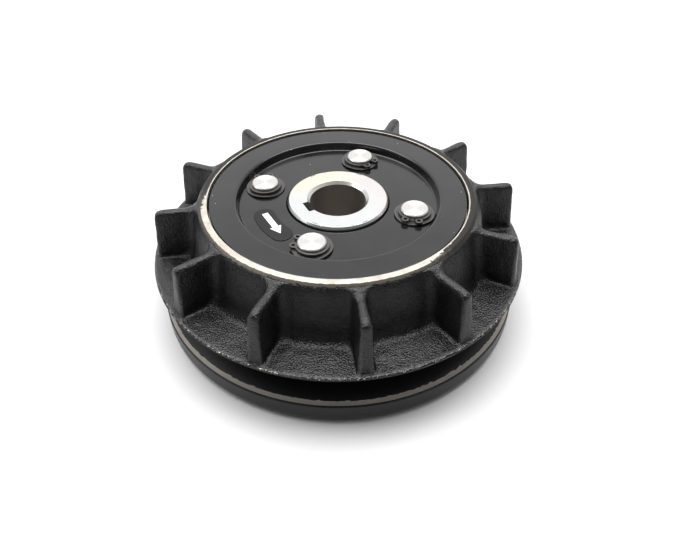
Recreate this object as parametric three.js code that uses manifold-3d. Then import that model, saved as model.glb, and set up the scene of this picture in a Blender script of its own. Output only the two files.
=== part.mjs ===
// Centrifugal clutch of a small engine: a finned belt drum that runs on a ball bearing around a
// keyed hub. Four pivoted weights on the hub swing out and grip the inside of the drum.
// Units are millimetres. Z is the shaft axis and z = 0 is the foot of the rear cover.
// Radii are added up from the shaft bore outwards, and heights from the foot upwards, so a
// change to one size moves whatever is seated beyond it.

import * as THREE from 'three';
import { mergeVertices } from 'three/addons/utils/BufferGeometryUtils.js';
import Module from 'manifold-3d';

const wasm = await Module();
wasm.setup();

// ---- Clearances ----
const GAP = 0.3;              // between faces that rest on each other
const FIT = 0.2;              // radial room of a piece in or on its seat
const RING_PLAY = 0.15;       // each side of a retaining ring in its groove

// ---- Hub, pins and weights: radial sizes from the bore outwards ----
const BORE_R = 12.5;          // 25 mm shaft
const KEY_W = 7;
const KEY_DEPTH = 3.3;        // from the bore wall to the bottom of the keyway
const HUB_WALL = 10;
const PIN_HUB_SPACE = 6.4;    // hub sleeve to the top of a pin
const PIN_R = 6;
const PIN_SHOULDER = 1;       // step that carries the cover plate
const WEIGHT_HUB_SPACE = 2.8;
const WEIGHT_EYE_WALL = 2.4;  // metal round the pivot hole
const WEIGHT_BACK = 15.6;     // pivot axis to the back of the weight
const WEIGHT_SPLIT = 2;       // degrees between neighbouring weights
const LINING_T = 3.2;
const LINING_INSET = 2;       // degrees by which a lining is shorter than its weight
const SHOE_GAP = 1;           // lining to drum when the clutch is out
const CARRIER_RIM = 10.1;     // pivot axis to the edge of the carrier disc
const HUB_SHOULDER = 4;       // step that the bearing's inner ring rests against
const SHAFT_GROOVE = 1.1;     // depth of the ring groove in the journal
const PLATE_HUB_GAP = 0.9;

// ---- Drum: radial sizes ----
const DRUM_WALL = 12.7;       // friction bore to the bottom of the belt groove
const GROOVE_DEPTH = 13.3;    // bottom of the groove to the lower flange
const GROOVE_ANGLE = 38;
const LAND_W = 1.3;           // bare conical land under the groove
const LIP_OUT = 3.6;          // how far the upper flange reaches past the lower one
const COUNTERBORE_STEP = 2.55;
const RIM_FLAT = 2.65;
const RIM_CHAMFER = 1.2;
const SHOULDER_W = 1.6;       // sloped cast shoulder between the rim's chamfer and the wall
const WALL_TAPER = 3.8;       // draft of the cast wall between rim and flange
const FILLET = 4;             // height of the cast fillet between wall and flange
const PLATE_SIDE_GAP = 0.75;  // cover plate to rim
const COVER_PROUD = 0.5;      // how far the rear cover stands out from the land
const HOUSING_GROOVE = 1.5;   // depth of the ring groove in the housing
const FLOOR_OVERLAP = 2.5;    // drum floor over the edge of the bearing
const RIB_WALL = 3.5;         // metal beside each screw hole
const POCKET_EDGE = 1;        // rear pockets to the inner edge of the spigot
const HOUSING_WALL = 8.6;
const GROOVE_BACKING = 8.7;   // metal between the belt groove and the rear pockets

// ---- Bearing 40 x 68 x 15 between hub and drum ----
const JOURNAL_WALL = 7.5;
const BEARING_SECTION = 14;   // radial height, bore to outside
const BEARING_W = 15;
const BALL_R = 3.97;
const BALL_COUNT = 9;
const RACE_WALL = 4.5;        // radial height of each ring at its shoulder
const SEAL_T = 1;
const SEAL_INSET = 0.4;
const CAGE_T = 1.6;

// ---- Axial sizes from the foot upwards ----
const COVER_H = 10.9;         // rear cover, a drawn cup
const COVER_SHEET = 2.5;
const COVER_RECESS = 4;
const COVER_CORNER_R = 5;
const COVER_FOOT_W = 13.8;
const COVER_RAMP = 3;         // slope between the foot and the recess, measured along the radius
const COVER_BEND = 1.2;       // shift of the sheet's inner face at its bends
const COVER_LIP = 2.2;        // housing groove to the edge of the cover's opening
const RING_LAND = 2;          // metal below a retaining ring's groove
const HOUSING_RING_T = 2.5;
const SHAFT_RING_T = 1.75;
const FLOOR_LIP = 2.2;
const FLOOR_GAP = 0.6;
const CARRIER_T = 4.5;
const WEIGHT_H = 14.35;
const WEIGHT_TOP_GAP = 0.5;
const PLATE_SHEET = 2;
const PLATE_DROP = 3.7;       // depth of the dish in the cover plate
const PLATE_WALL = 3.4;       // radial reach of the sloped wall round the dish, below the sheet
const PLATE_EDGE = 0.3;
const PLATE_BELOW_RIM = 0.8;
const GROOVE_W = 15;          // belt groove between its edges, at the lower flange
const LIP_T = 1.6;
const RIM_CHAMFER_H = 0.9;
const SHOULDER_H = 1.3;
const FLANGE_EDGE = 0.5;      // broken edge of the upper flange
const LAND_STEP = 0.2;        // upright edge below the conical land
const SPIGOT_H = 2.7;
const WEB_T = 6;
const HUB_BELOW_RIM = 2.8;
const PIN_BELOW_RIM = 1;
const EDGE = 0.8;             // chamfer on turned edges

// ---- Pin hardware ----
const CLIP_T = 1;
const CLIP_BAND = 1.35;
const CLIP_GROOVE = 0.25;
const WASHER_BAND = 2.6;
const WASHER_T = 0.5;
const WASHER_WAVE = 0.22;
const WASHER_WAVES = 3;

// ---- Cooling blades ----
const BLADE_COUNT = 12;
const BLADE_START = 10;       // degrees, where the drum rests
const BLADE_TIP_IN = 4.3;     // tip to the edge of the upper flange
const BLADE_FOOT_IN = 1.8;
const BLADE_DROP = 1.8;       // rim to the blade's level top edge
const BLADE_CORNER = 3;       // round corner between top edge and tip
const BLADE_TOP_W = 4.2;
const BLADE_FOOT_W = 6.8;
const BLADE_ROUND = 1.5;
const BLADE_SINK = 0.9;       // blade into the flange
const BLADE_BURY = 1.5;       // blade into the rim

// ---- Screws, springs and label ----
const SCREW_COUNT = 6;
const SCREW_R = 3;
const SCREW_HEAD_R = 5.2;
const SCREW_HEAD_H = 3.2;
const SCREW_GRIP = 9;
const SOCKET_R = 2.3;         // across the corners of the hexagon socket
const SOCKET_DEPTH = 2;
const SPRING_R = 3.2;
const SPRING_L = 21;
const LABEL_T = 0.2;
const LABEL_HALF_W = 4.8;
const LABEL_ARC = 26;         // degrees between the centres of its round ends
const LABEL_ANGLE = 185;

const PIN_COUNT = 4;
const PIN_START = 45;
const ROUND_LARGE = 48;
const ROUND_MEDIUM = 36;
const ROUND_SMALL = 20;
const ROUND_TINY = 12;

// ---- Radii worked out from the sizes above ----
const hubR = BORE_R + HUB_WALL;
const pinPitchR = hubR + PIN_HUB_SPACE + PIN_R;
const pinBodyR = PIN_R + PIN_SHOULDER;
const pivotHoleR = pinBodyR + FIT;
const weightInR = hubR + WEIGHT_HUB_SPACE;
const weightR = pinPitchR + WEIGHT_BACK;
const liningInR = weightR + GAP;
const liningR = liningInR + LINING_T;
const drumR = liningR + SHOE_GAP;
const carrierR = pinPitchR + CARRIER_RIM;
const rimInR = drumR + COUNTERBORE_STEP;
const rimFlatR = rimInR + RIM_FLAT;
const rimOutR = rimFlatR + RIM_CHAMFER;
const grooveR = drumR + DRUM_WALL;
const landInR = grooveR + GROOVE_DEPTH;
const landR = landInR + LAND_W;
const flangeR = landInR + LIP_OUT;
const coverR = landR + COVER_PROUD;
const journalR = BORE_R + JOURNAL_WALL;
const bearingR = journalR + BEARING_SECTION;
const ballPitchR = journalR + BEARING_SECTION / 2;
const housingR = bearingR + FIT;
const housingGrooveR = housingR + HOUSING_GROOVE;
const housingOutR = housingR + HOUSING_WALL;
const pocketR = grooveR - GROOVE_BACKING;
const screwPitchR = (housingOutR + pocketR) / 2;
const coverOpenR = housingGrooveR + COVER_LIP;
const clipR = PIN_R + CLIP_BAND;
const washerInR = PIN_R + FIT;
const washerR = washerInR + WASHER_BAND;
const dishR = pinPitchR + washerR + GAP;

// ---- Heights worked out from the sizes above ----
const bossZ = COVER_RECESS + COVER_SHEET + GAP;
const housingGrooveZ = bossZ + RING_LAND;
const housingRingZ = housingGrooveZ + RING_PLAY;
const housingGrooveTopZ = housingRingZ + HOUSING_RING_T + RING_PLAY;
const bearingZ = housingGrooveTopZ + RING_PLAY;
const bearingTopZ = bearingZ + BEARING_W;
const shaftRingZ = bearingZ - GAP - SHAFT_RING_T;
const shaftGrooveZ = shaftRingZ - RING_PLAY;
const hubZ = shaftGrooveZ - RING_LAND;
const shoulderZ = bearingTopZ + GAP;
const floorZ = shoulderZ + FLOOR_LIP;
const carrierZ = floorZ + FLOOR_GAP;
const carrierTopZ = carrierZ + CARRIER_T;
const weightZ = carrierTopZ + GAP;
const plateZ = weightZ + WEIGHT_H + WEIGHT_TOP_GAP;
const dishZ = plateZ + PLATE_SHEET;
const rimZ = dishZ + PLATE_DROP + PLATE_BELOW_RIM;
const hubTopZ = rimZ - HUB_BELOW_RIM;
const pinTopZ = rimZ - PIN_BELOW_RIM;
const washerZ = dishZ + GAP / 2 + WASHER_WAVE;
const clipZ = washerZ + WASHER_T + WASHER_WAVE + GAP / 2;
const landZ = COVER_H + GAP;
const grooveLowZ = landZ + LAND_W + LAND_STEP;
const grooveHighZ = grooveLowZ + GROOVE_W;
const flank = Math.tan(THREE.MathUtils.degToRad(GROOVE_ANGLE / 2));
const flangeLipZ = grooveHighZ + LIP_OUT * flank;
const flangeZ = flangeLipZ + LIP_T;
const spigotZ = landZ - SPIGOT_H;
const screwTipZ = bossZ + SCREW_GRIP;

// ---- Materials ----
function material(color, roughness, metalness) {
  return new THREE.MeshStandardMaterial({ color, roughness, metalness });
}
const castBlack = material(0x1c1c1d, 0.62, 0.1);
const sheetBlack = material(0x141416, 0.28, 0.15);
const brightSteel = material(0xb9babb, 0.3, 0.95);
const darkSteel = material(0x2e2d2c, 0.45, 0.7);
const bearingSteel = material(0xc4c6c8, 0.2, 1);
const brass = material(0xb08d3f, 0.4, 0.9);
const sealRubber = material(0x191919, 0.75, 0);
const castIron = material(0x55534f, 0.7, 0.6);
const liningBrown = material(0x5a4634, 0.9, 0);
const labelBlack = material(0x0b0b0c, 0.5, 0);

// ---- Shape helpers ----
const degrees = THREE.MathUtils.degToRad;

// A closed geometry as a solid, whichever way its faces were wound.
function solid(geometry) {
  const bare = geometry.clone();
  bare.deleteAttribute('normal');
  bare.deleteAttribute('uv');
  const merged = mergeVertices(bare, 1e-4);
  const place = merged.attributes.position;
  const corner = [0, 1, 2].map(() => new THREE.Vector3());
  const triVerts = [];
  let volume = 0;
  for (let i = 0; i < merged.index.count; i += 3) {
    const face = [0, 1, 2].map((k) => merged.index.getX(i + k));
    if (new Set(face).size < 3) continue;
    face.forEach((vertex, k) => corner[k].fromBufferAttribute(place, vertex));
    volume += corner[0].dot(corner[1].clone().cross(corner[2]));
    triVerts.push(...face);
  }
  if (volume < 0) triVerts.reverse();
  const vertProperties = new Float32Array(place.array);
  return new wasm.Manifold(new wasm.Mesh({
    numProp: 3, vertProperties, triVerts: new Uint32Array(triVerts),
  }));
}

function geometryOf(body) {
  const { vertProperties, triVerts } = body.getMesh();
  const geometry = new THREE.BufferGeometry();
  geometry.setAttribute('position', new THREE.BufferAttribute(new Float32Array(vertProperties), 3));
  geometry.setIndex(new THREE.BufferAttribute(new Uint32Array(triVerts), 1));
  geometry.computeVertexNormals();
  return geometry;
}

// A solid of revolution about Z from [radius, height] corners.
function turned(outline, segments) {
  const points = outline.map(([r, z]) => new THREE.Vector2(r, z));
  points.push(points[0].clone());
  return solid(new THREE.LatheGeometry(points, segments).rotateX(Math.PI / 2));
}

function rod(r, z0, z1, segments) {
  return turned([[0, z0], [r, z0], [r, z1], [0, z1]], segments);
}

// A plane shape raised from z0 to z1.
function raised(shape, z0, z1, curveSegments) {
  const geometry = new THREE.ExtrudeGeometry(shape, {
    depth: z1 - z0, bevelEnabled: false, curveSegments,
  });
  return solid(geometry.translate(0, 0, z0));
}

function outlineShape(corners) {
  return new THREE.Shape(corners.map(([x, y]) => new THREE.Vector2(x, y)));
}

// A stretch of a flat ring between two angles in degrees.
function sector(inR, outR, from, to) {
  const shape = new THREE.Shape();
  shape.absarc(0, 0, outR, degrees(from), degrees(to), false);
  shape.absarc(0, 0, inR, degrees(to), degrees(from), true);
  shape.closePath();
  return shape;
}

// The points of an arc, as [x, y] pairs.
function arc(x, y, r, from, to, steps) {
  return Array.from({ length: steps + 1 }, (_, i) => {
    const angle = degrees(from + (to - from) * i / steps);
    return [x + r * Math.cos(angle), y + r * Math.sin(angle)];
  });
}

function aroundRing(count, start) {
  return Array.from({ length: count }, (_, i) => start + 360 * i / count);
}

function polar(r, angle) {
  return [r * Math.cos(degrees(angle)), r * Math.sin(degrees(angle))];
}

// Cuts one copy of a tool at each angle round the axis.
function cutRound(body, tool, r, angles) {
  return angles.reduce((left, angle) => {
    const [x, y] = polar(r, angle);
    return left.subtract(tool.rotate([0, 0, angle]).translate([x, y, 0]));
  }, body);
}

function addPiece(parent, name, body, surface) {
  const piece = new THREE.Mesh(geometryOf(body), surface);
  piece.name = name;
  parent.add(piece);
  return piece;
}

// ---- Drum: belt pulley, blades and bearing housing in one casting ----
function drumTurning() {
  const shoulderR = rimOutR + SHOULDER_W;
  const wallFootR = shoulderR + WALL_TAPER;
  const bottomHalf = GROOVE_W / 2 - GROOVE_DEPTH * flank;
  const grooveMidZ = grooveLowZ + GROOVE_W / 2;
  return turned([
    [rimInR, rimZ], [rimFlatR, rimZ], [rimOutR, rimZ - RIM_CHAMFER_H],
    [shoulderR, rimZ - RIM_CHAMFER_H - SHOULDER_H],
    [wallFootR - 0.1 * FILLET, flangeZ + FILLET],
    [wallFootR + 0.65 * FILLET, flangeZ + 0.2 * FILLET],
    [flangeR - FLANGE_EDGE, flangeZ], [flangeR, flangeZ - FLANGE_EDGE],
    [flangeR, flangeLipZ], [grooveR, grooveMidZ + bottomHalf], [grooveR, grooveMidZ - bottomHalf],
    [landInR, grooveLowZ], [landR, landZ + LAND_STEP], [landR, landZ],
    [coverR - COVER_SHEET - GAP, landZ], [coverR - COVER_SHEET - GAP, spigotZ],
    [pocketR + 2 * POCKET_EDGE, spigotZ], [pocketR + POCKET_EDGE, bossZ],
    [housingR + EDGE, bossZ], [housingR, bossZ + EDGE], [housingR, housingGrooveZ],
    [housingGrooveR, housingGrooveZ], [housingGrooveR, housingGrooveTopZ],
    [housingR, housingGrooveTopZ], [housingR, shoulderZ], [bearingR - FLOOR_OVERLAP, shoulderZ],
    [bearingR - FLOOR_OVERLAP, floorZ], [drumR, floorZ], [drumR, dishZ], [rimInR, dishZ],
  ], ROUND_LARGE);
}

function bladeBlank() {
  const footZ = flangeZ - BLADE_SINK;
  const topZ = rimZ - BLADE_DROP;
  const half = BLADE_TOP_W / 2;
  const section = outlineShape([
    [-BLADE_FOOT_W / 2, footZ], [BLADE_FOOT_W / 2, footZ],
    ...arc(half - BLADE_ROUND, topZ - BLADE_ROUND, BLADE_ROUND, 0, 90, 2),
    ...arc(BLADE_ROUND - half, topZ - BLADE_ROUND, BLADE_ROUND, 90, 180, 2),
  ]);
  const rootR = rimOutR - BLADE_BURY;
  const along = new THREE.ExtrudeGeometry(section, { depth: flangeR - rootR, bevelEnabled: false });
  along.applyMatrix4(new THREE.Matrix4().makeBasis(
    new THREE.Vector3(0, 1, 0), new THREE.Vector3(0, 0, 1), new THREE.Vector3(1, 0, 0)));
  along.translate(rootR, 0, 0);
  const tipR = flangeR - BLADE_TIP_IN;
  const side = outlineShape([
    [rootR - 1, footZ - 1], [flangeR - BLADE_FOOT_IN, footZ - 1],
    [flangeR - BLADE_FOOT_IN, flangeZ + 1],
    ...arc(tipR - BLADE_CORNER, topZ - BLADE_CORNER, BLADE_CORNER, 5, 90, 3), [rootR - 1, topZ],
  ]);
  const across = new THREE.ExtrudeGeometry(side, { depth: 2 * BLADE_FOOT_W, bevelEnabled: false });
  across.translate(0, 0, -BLADE_FOOT_W);
  across.applyMatrix4(new THREE.Matrix4().makeBasis(
    new THREE.Vector3(1, 0, 0), new THREE.Vector3(0, 0, 1), new THREE.Vector3(0, -1, 0)));
  return solid(along).intersect(solid(across));
}

function drum() {
  const blade = bladeBlank();
  const turnings = aroundRing(BLADE_COUNT, BLADE_START);
  let body = turnings.reduce((all, angle) => all.add(blade.rotate([0, 0, angle])), drumTurning());
  const screwAngles = aroundRing(SCREW_COUNT, 0);
  const hole = rod(SCREW_R + FIT, bossZ - 1, screwTipZ + 1, ROUND_TINY);
  body = cutRound(body, hole, screwPitchR, screwAngles);
  const rib = THREE.MathUtils.radToDeg((SCREW_R + RIB_WALL) / screwPitchR);
  const pocket = raised(
    sector(housingOutR, pocketR, rib, 360 / SCREW_COUNT - rib), bossZ - 1, floorZ - WEB_T, 3);
  return cutRound(body, pocket, 0, screwAngles);
}

// ---- Rear cover: a drawn cup screwed to the back of the drum ----
function rearCover() {
  const footR = coverR - COVER_CORNER_R;
  const innerR = coverR - COVER_SHEET;
  const bendR = COVER_CORNER_R - COVER_SHEET;
  const footInR = footR - COVER_FOOT_W;
  const body = turned([
    [coverOpenR, COVER_RECESS], [footInR - COVER_RAMP, COVER_RECESS], [footInR, 0],
    ...arc(footR, COVER_CORNER_R, COVER_CORNER_R, -90, 0, 3),
    [coverR, COVER_H], [innerR, COVER_H],
    ...arc(footR, COVER_CORNER_R, bendR, 0, -90, 1),
    [footInR + COVER_BEND, COVER_SHEET],
    [footInR + COVER_BEND - COVER_RAMP, COVER_RECESS + COVER_SHEET],
    [coverOpenR, COVER_RECESS + COVER_SHEET],
  ], ROUND_LARGE);
  const hole = rod(SCREW_R + FIT, COVER_RECESS - 1, bossZ, ROUND_TINY);
  return cutRound(body, hole, screwPitchR, aroundRing(SCREW_COUNT, 0));
}

// A button-head screw with a hexagon socket, head down.
function coverScrew() {
  const headTopZ = COVER_RECESS - GAP;
  const body = turned([
    [0, headTopZ - SCREW_HEAD_H], [SCREW_HEAD_R - 2, headTopZ - SCREW_HEAD_H],
    [SCREW_HEAD_R - 0.4, headTopZ - SCREW_HEAD_H / 2], [SCREW_HEAD_R, headTopZ],
    [SCREW_R, headTopZ], [SCREW_R, screwTipZ], [0, screwTipZ],
  ], ROUND_TINY);
  return body.subtract(
    rod(SOCKET_R, headTopZ - SCREW_HEAD_H - 1, headTopZ - SCREW_HEAD_H + SOCKET_DEPTH, 6));
}

// ---- Hub: keyed sleeve, carrier disc and bearing journal in one turning ----
function hub() {
  const seatR = journalR - FIT;
  const shoulderR = journalR + HUB_SHOULDER;
  const shaftGrooveR = seatR - SHAFT_GROOVE;
  const shaftGrooveTopZ = bearingZ - RING_PLAY;
  const body = turned([
    [BORE_R + EDGE, hubZ], [seatR - EDGE, hubZ], [seatR, hubZ + EDGE], [seatR, shaftGrooveZ],
    [shaftGrooveR, shaftGrooveZ], [shaftGrooveR, shaftGrooveTopZ], [seatR, shaftGrooveTopZ],
    [seatR, shoulderZ], [shoulderR, shoulderZ], [shoulderR, carrierZ],
    [carrierR, carrierZ], [carrierR, carrierTopZ], [hubR, carrierTopZ],
    [hubR, hubTopZ - EDGE], [hubR - EDGE, hubTopZ], [BORE_R + EDGE, hubTopZ],
    [BORE_R, hubTopZ - EDGE], [BORE_R, hubZ + EDGE],
  ], ROUND_MEDIUM);
  const keyway = raised(outlineShape([
    [-BORE_R - KEY_DEPTH, -KEY_W / 2], [0, -KEY_W / 2], [0, KEY_W / 2],
    [-BORE_R - KEY_DEPTH, KEY_W / 2],
  ]), hubZ - 1, hubTopZ + 1, 1);
  const hole = rod(pivotHoleR, carrierZ - 1, carrierTopZ + 1, ROUND_SMALL);
  return cutRound(body.subtract(keyway), hole, pinPitchR, aroundRing(PIN_COUNT, PIN_START));
}

// ---- Cover plate: a dished disc that closes the drum and is carried by the pins ----
function coverPlate() {
  const edgeR = rimInR - PLATE_SIDE_GAP;
  const topZ = rimZ - PLATE_BELOW_RIM;
  const openR = hubR + PLATE_HUB_GAP;
  const body = turned([
    [openR, plateZ], [dishR + PLATE_WALL - PLATE_SHEET, plateZ],
    [dishR + PLATE_WALL, topZ - PLATE_SHEET],
    [edgeR, topZ - PLATE_SHEET], [edgeR, topZ - PLATE_EDGE], [edgeR - PLATE_EDGE, topZ],
    [dishR + 1.8, topZ], [dishR + 0.9, topZ - 0.5], [dishR, dishZ + 0.4], [dishR - 0.5, dishZ],
    [openR, dishZ],
  ], ROUND_LARGE);
  const hole = rod(PIN_R + FIT, plateZ - 1, dishZ + 1, ROUND_SMALL);
  return cutRound(body, hole, pinPitchR, aroundRing(PIN_COUNT, PIN_START));
}

// ---- Pivot pin with its wave washer and retaining ring ----
function pivotPin() {
  const stepZ = plateZ - GAP;
  const neckR = PIN_R - CLIP_GROOVE;
  const neckTopZ = clipZ + CLIP_T + RING_PLAY;
  return turned([
    [0, carrierZ], [pinBodyR, carrierZ], [pinBodyR, stepZ], [PIN_R, stepZ],
    [PIN_R, clipZ - RING_PLAY], [neckR, clipZ - RING_PLAY], [neckR, neckTopZ], [PIN_R, neckTopZ],
    [PIN_R, pinTopZ - 0.5], [PIN_R - 0.5, pinTopZ], [0, pinTopZ],
  ], ROUND_SMALL);
}

function waveWasher() {
  const band = new THREE.LatheGeometry([
    new THREE.Vector2(washerInR, 0), new THREE.Vector2(washerR, 0),
    new THREE.Vector2(washerR, WASHER_T), new THREE.Vector2(washerInR, WASHER_T),
    new THREE.Vector2(washerInR, 0),
  ], ROUND_SMALL).rotateX(Math.PI / 2);
  const place = band.attributes.position;
  for (let i = 0; i < place.count; i += 1) {
    const angle = Math.atan2(place.getY(i), place.getX(i));
    place.setZ(i, washerZ + place.getZ(i) + WASHER_WAVE * Math.cos(WASHER_WAVES * angle));
  }
  return solid(band);
}

// An open retaining ring, lugs at the ends of the gap; positive lugs stand outside the ring.
function retainingRing(inR, outR, z, thickness, halfGap, lugR, lugPitchR, holeR, steps) {
  let body = raised(sector(inR, outR, halfGap, 360 - halfGap), z, z + thickness, steps);
  const lugAngle = halfGap + THREE.MathUtils.radToDeg(lugR / lugPitchR);
  for (const angle of [lugAngle, -lugAngle]) {
    const [x, y] = polar(lugPitchR, angle);
    const lug = rod(lugR, z, z + thickness, ROUND_TINY);
    const hole = rod(holeR, z - 1, z + thickness + 1, 6);
    body = body.add(lug.translate([x, y, 0])).subtract(hole.translate([x, y, 0]));
  }
  return body;
}

function pinClip() {
  const inR = PIN_R - CLIP_GROOVE + FIT;
  return retainingRing(inR, clipR, clipZ, CLIP_T, 14, 1.15, inR + 1.25, 0.45, 9);
}

// ---- Weight and lining: one of four shoes, its pivot at angle 0 ----
const rearAngle = THREE.MathUtils.radToDeg(Math.asin((pivotHoleR + WEIGHT_EYE_WALL) / pinPitchR));
const frontAngle = 360 / PIN_COUNT - rearAngle - WEIGHT_SPLIT;
const springPitchR = hubR + 2.3 + SPRING_R;
const springPocketR = Math.hypot(springPitchR + SPRING_R, SPRING_L / 2) + 1;

function weight() {
  const stepAngle = 22;
  const shape = outlineShape([
    ...arc(0, 0, weightR, -rearAngle, frontAngle, 12),
    ...arc(0, 0, springPocketR, frontAngle, stepAngle, 6),
    ...arc(0, 0, weightInR, stepAngle - 4, -rearAngle, 5),
  ]);
  const hole = rod(pivotHoleR, weightZ - 1, weightZ + WEIGHT_H + 1, ROUND_SMALL);
  const body = raised(shape, weightZ, weightZ + WEIGHT_H, 1);
  return body.subtract(hole.translate([pinPitchR, 0, 0]));
}

function lining() {
  const shape = sector(liningInR, liningR, LINING_INSET - rearAngle, frontAngle - LINING_INSET);
  return raised(shape, weightZ + GAP, weightZ + WEIGHT_H - GAP, 6);
}

// Outer shape of a close-wound return spring, along Y.
function returnSpring() {
  const body = rod(SPRING_R, -SPRING_L / 2, SPRING_L / 2, ROUND_TINY);
  return body.rotate([90, 0, 0]).translate([springPitchR, 0, weightZ + WEIGHT_H / 2]);
}

// ---- Ball bearing ----
function raceRing(boreR, shoulderR) {
  const midZ = bearingZ + BEARING_W / 2;
  const grooveArcR = BALL_R + GAP;
  const side = Math.sign(shoulderR - ballPitchR);
  const reach = Math.abs(shoulderR - ballPitchR) / grooveArcR;
  const half = THREE.MathUtils.radToDeg(Math.acos(reach));
  const groove = arc(0, 0, grooveArcR, -half, half, 4)
    .map(([x, y]) => [ballPitchR + side * x, midZ + y]);
  return turned([
    [boreR, bearingZ], [shoulderR, bearingZ], ...groove,
    [shoulderR, bearingTopZ], [boreR, bearingTopZ],
  ], ROUND_MEDIUM);
}

const innerShoulderR = journalR + RACE_WALL;
const outerShoulderR = bearingR - RACE_WALL;

function bearingSeal(z) {
  return turned([
    [innerShoulderR + GAP, z], [outerShoulderR - GAP, z],
    [outerShoulderR - GAP, z + SEAL_T], [innerShoulderR + GAP, z + SEAL_T],
  ], ROUND_MEDIUM);
}

function ballCage() {
  const midZ = bearingZ + BEARING_W / 2;
  const windowR = BALL_R + GAP + 0.2;
  const half = windowR + 0.8;
  const band = turned([
    [ballPitchR - CAGE_T / 2, midZ - half], [ballPitchR + CAGE_T / 2, midZ - half],
    [ballPitchR + CAGE_T / 2, midZ + half], [ballPitchR - CAGE_T / 2, midZ + half],
  ], ROUND_MEDIUM);
  const window = rod(windowR, -CAGE_T * 2, CAGE_T * 2, ROUND_TINY).rotate([0, 90, 0]);
  return cutRound(band, window.translate([0, 0, midZ]), ballPitchR, aroundRing(BALL_COUNT, 0));
}

function ball() {
  return solid(new THREE.SphereGeometry(BALL_R, 10, 6).rotateX(Math.PI / 2));
}

function housingRing() {
  return retainingRing(housingR - 2.9, housingGrooveR - FIT, housingRingZ, HOUSING_RING_T,
    8, 2.2, housingR - 2.4, 1.2, 14);
}

function shaftRing() {
  const inR = journalR - SHAFT_GROOVE;
  return retainingRing(inR, journalR + 2.6, shaftRingZ, SHAFT_RING_T, 8, 2, inR + 2.1, 1, 11);
}

// ---- Direction label on the cover plate: a curved band with round ends ----
function directionLabel() {
  const midR = springPitchR + LABEL_HALF_W + 0.7;
  const half = LABEL_ARC / 2;
  const shape = outlineShape([
    ...arc(0, 0, midR + LABEL_HALF_W, -half, half, 6),
    ...arc(...polar(midR, half), LABEL_HALF_W, half, half + 180, 6).slice(1, -1),
    ...arc(0, 0, midR - LABEL_HALF_W, half, -half, 6),
    ...arc(...polar(midR, -half), LABEL_HALF_W, 180 - half, 360 - half, 6).slice(1, -1),
  ]);
  return raised(shape, dishZ + 0.1, dishZ + 0.1 + LABEL_T, 1);
}

// ---- Assembly ----
const clutch = new THREE.Group();

function addDrumSide() {
  const side = new THREE.Group();
  addPiece(side, 'drum', drum(), castBlack);
  addPiece(side, 'rear_cover', rearCover(), sheetBlack);
  addPiece(side, 'bearing_outer_ring', raceRing(bearingR, outerShoulderR), bearingSteel);
  addPiece(side, 'bearing_seal_rear', bearingSeal(bearingZ + SEAL_INSET), sealRubber);
  addPiece(side, 'bearing_seal_front', bearingSeal(bearingTopZ - SEAL_INSET - SEAL_T), sealRubber);
  addPiece(side, 'housing_retaining_ring', housingRing(), darkSteel);
  aroundRing(SCREW_COUNT, 0).forEach((angle, i) => {
    const screw = addPiece(side, `cover_screw_${i + 1}`, coverScrew(), darkSteel);
    screw.position.set(...polar(screwPitchR, angle), 0);
  });
  clutch.add(side);
}

function addBalls() {
  const set = new THREE.Group();
  addPiece(set, 'ball_cage', ballCage(), brass);
  aroundRing(BALL_COUNT, 0).forEach((angle, i) => {
    const piece = addPiece(set, `ball_${i + 1}`, ball(), bearingSteel);
    piece.position.set(...polar(ballPitchR, angle), bearingZ + BEARING_W / 2);
    piece.rotation.z = degrees(angle);
  });
  clutch.add(set);
}

// Direction in which each pin's retaining ring has its gap, degrees.
const CLIP_GAPS = [292, 73, 137, 229];
const PIN_NAMES = ['a', 'b', 'c', 'd'];

function addPinStation(i, angle) {
  const name = PIN_NAMES[i];
  const station = new THREE.Group();
  station.position.set(...polar(pinPitchR, angle), 0);
  addPiece(station, `pin_${name}`, pivotPin(), brightSteel);
  const washer = addPiece(station, `wave_washer_${name}`, waveWasher(), darkSteel);
  washer.rotation.z = degrees(CLIP_GAPS[i] + 40);
  const clip = addPiece(station, `pin_clip_${name}`, pinClip(), darkSteel);
  clip.rotation.z = degrees(CLIP_GAPS[i]);
  clutch.add(station);
}

function addShoe(i, angle) {
  const name = PIN_NAMES[i];
  const shoe = new THREE.Group();
  shoe.rotation.z = degrees(angle);
  addPiece(shoe, `weight_${name}`, weight(), castIron);
  addPiece(shoe, `lining_${name}`, lining(), liningBrown);
  const spring = addPiece(shoe, `return_spring_${name}`, returnSpring(), brightSteel);
  spring.rotation.z = degrees(frontAngle - 26);
  clutch.add(shoe);
}

addDrumSide();
addBalls();
addPiece(clutch, 'hub', hub(), brightSteel);
addPiece(clutch, 'bearing_inner_ring', raceRing(journalR, innerShoulderR), bearingSteel);
addPiece(clutch, 'shaft_retaining_ring', shaftRing(), darkSteel);
addPiece(clutch, 'cover_plate', coverPlate(), sheetBlack);
aroundRing(PIN_COUNT, PIN_START).forEach((angle, i) => {
  addPinStation(i, angle);
  addShoe(i, angle);
});
addPiece(clutch, 'direction_label', directionLabel(), labelBlack).rotation.z = degrees(LABEL_ANGLE);

export default clutch;
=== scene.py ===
"""Looks of a centrifugal clutch: cast belt drum with cooling blades round a keyed steel hub.

Shapes are worked out in millimetres and turned into metres when a mesh is made. Heights and main
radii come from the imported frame; the rest are named sizes of the object.
"""

import math

import bmesh
import bpy
import numpy as np
from mathutils import Matrix, Vector, noise


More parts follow.
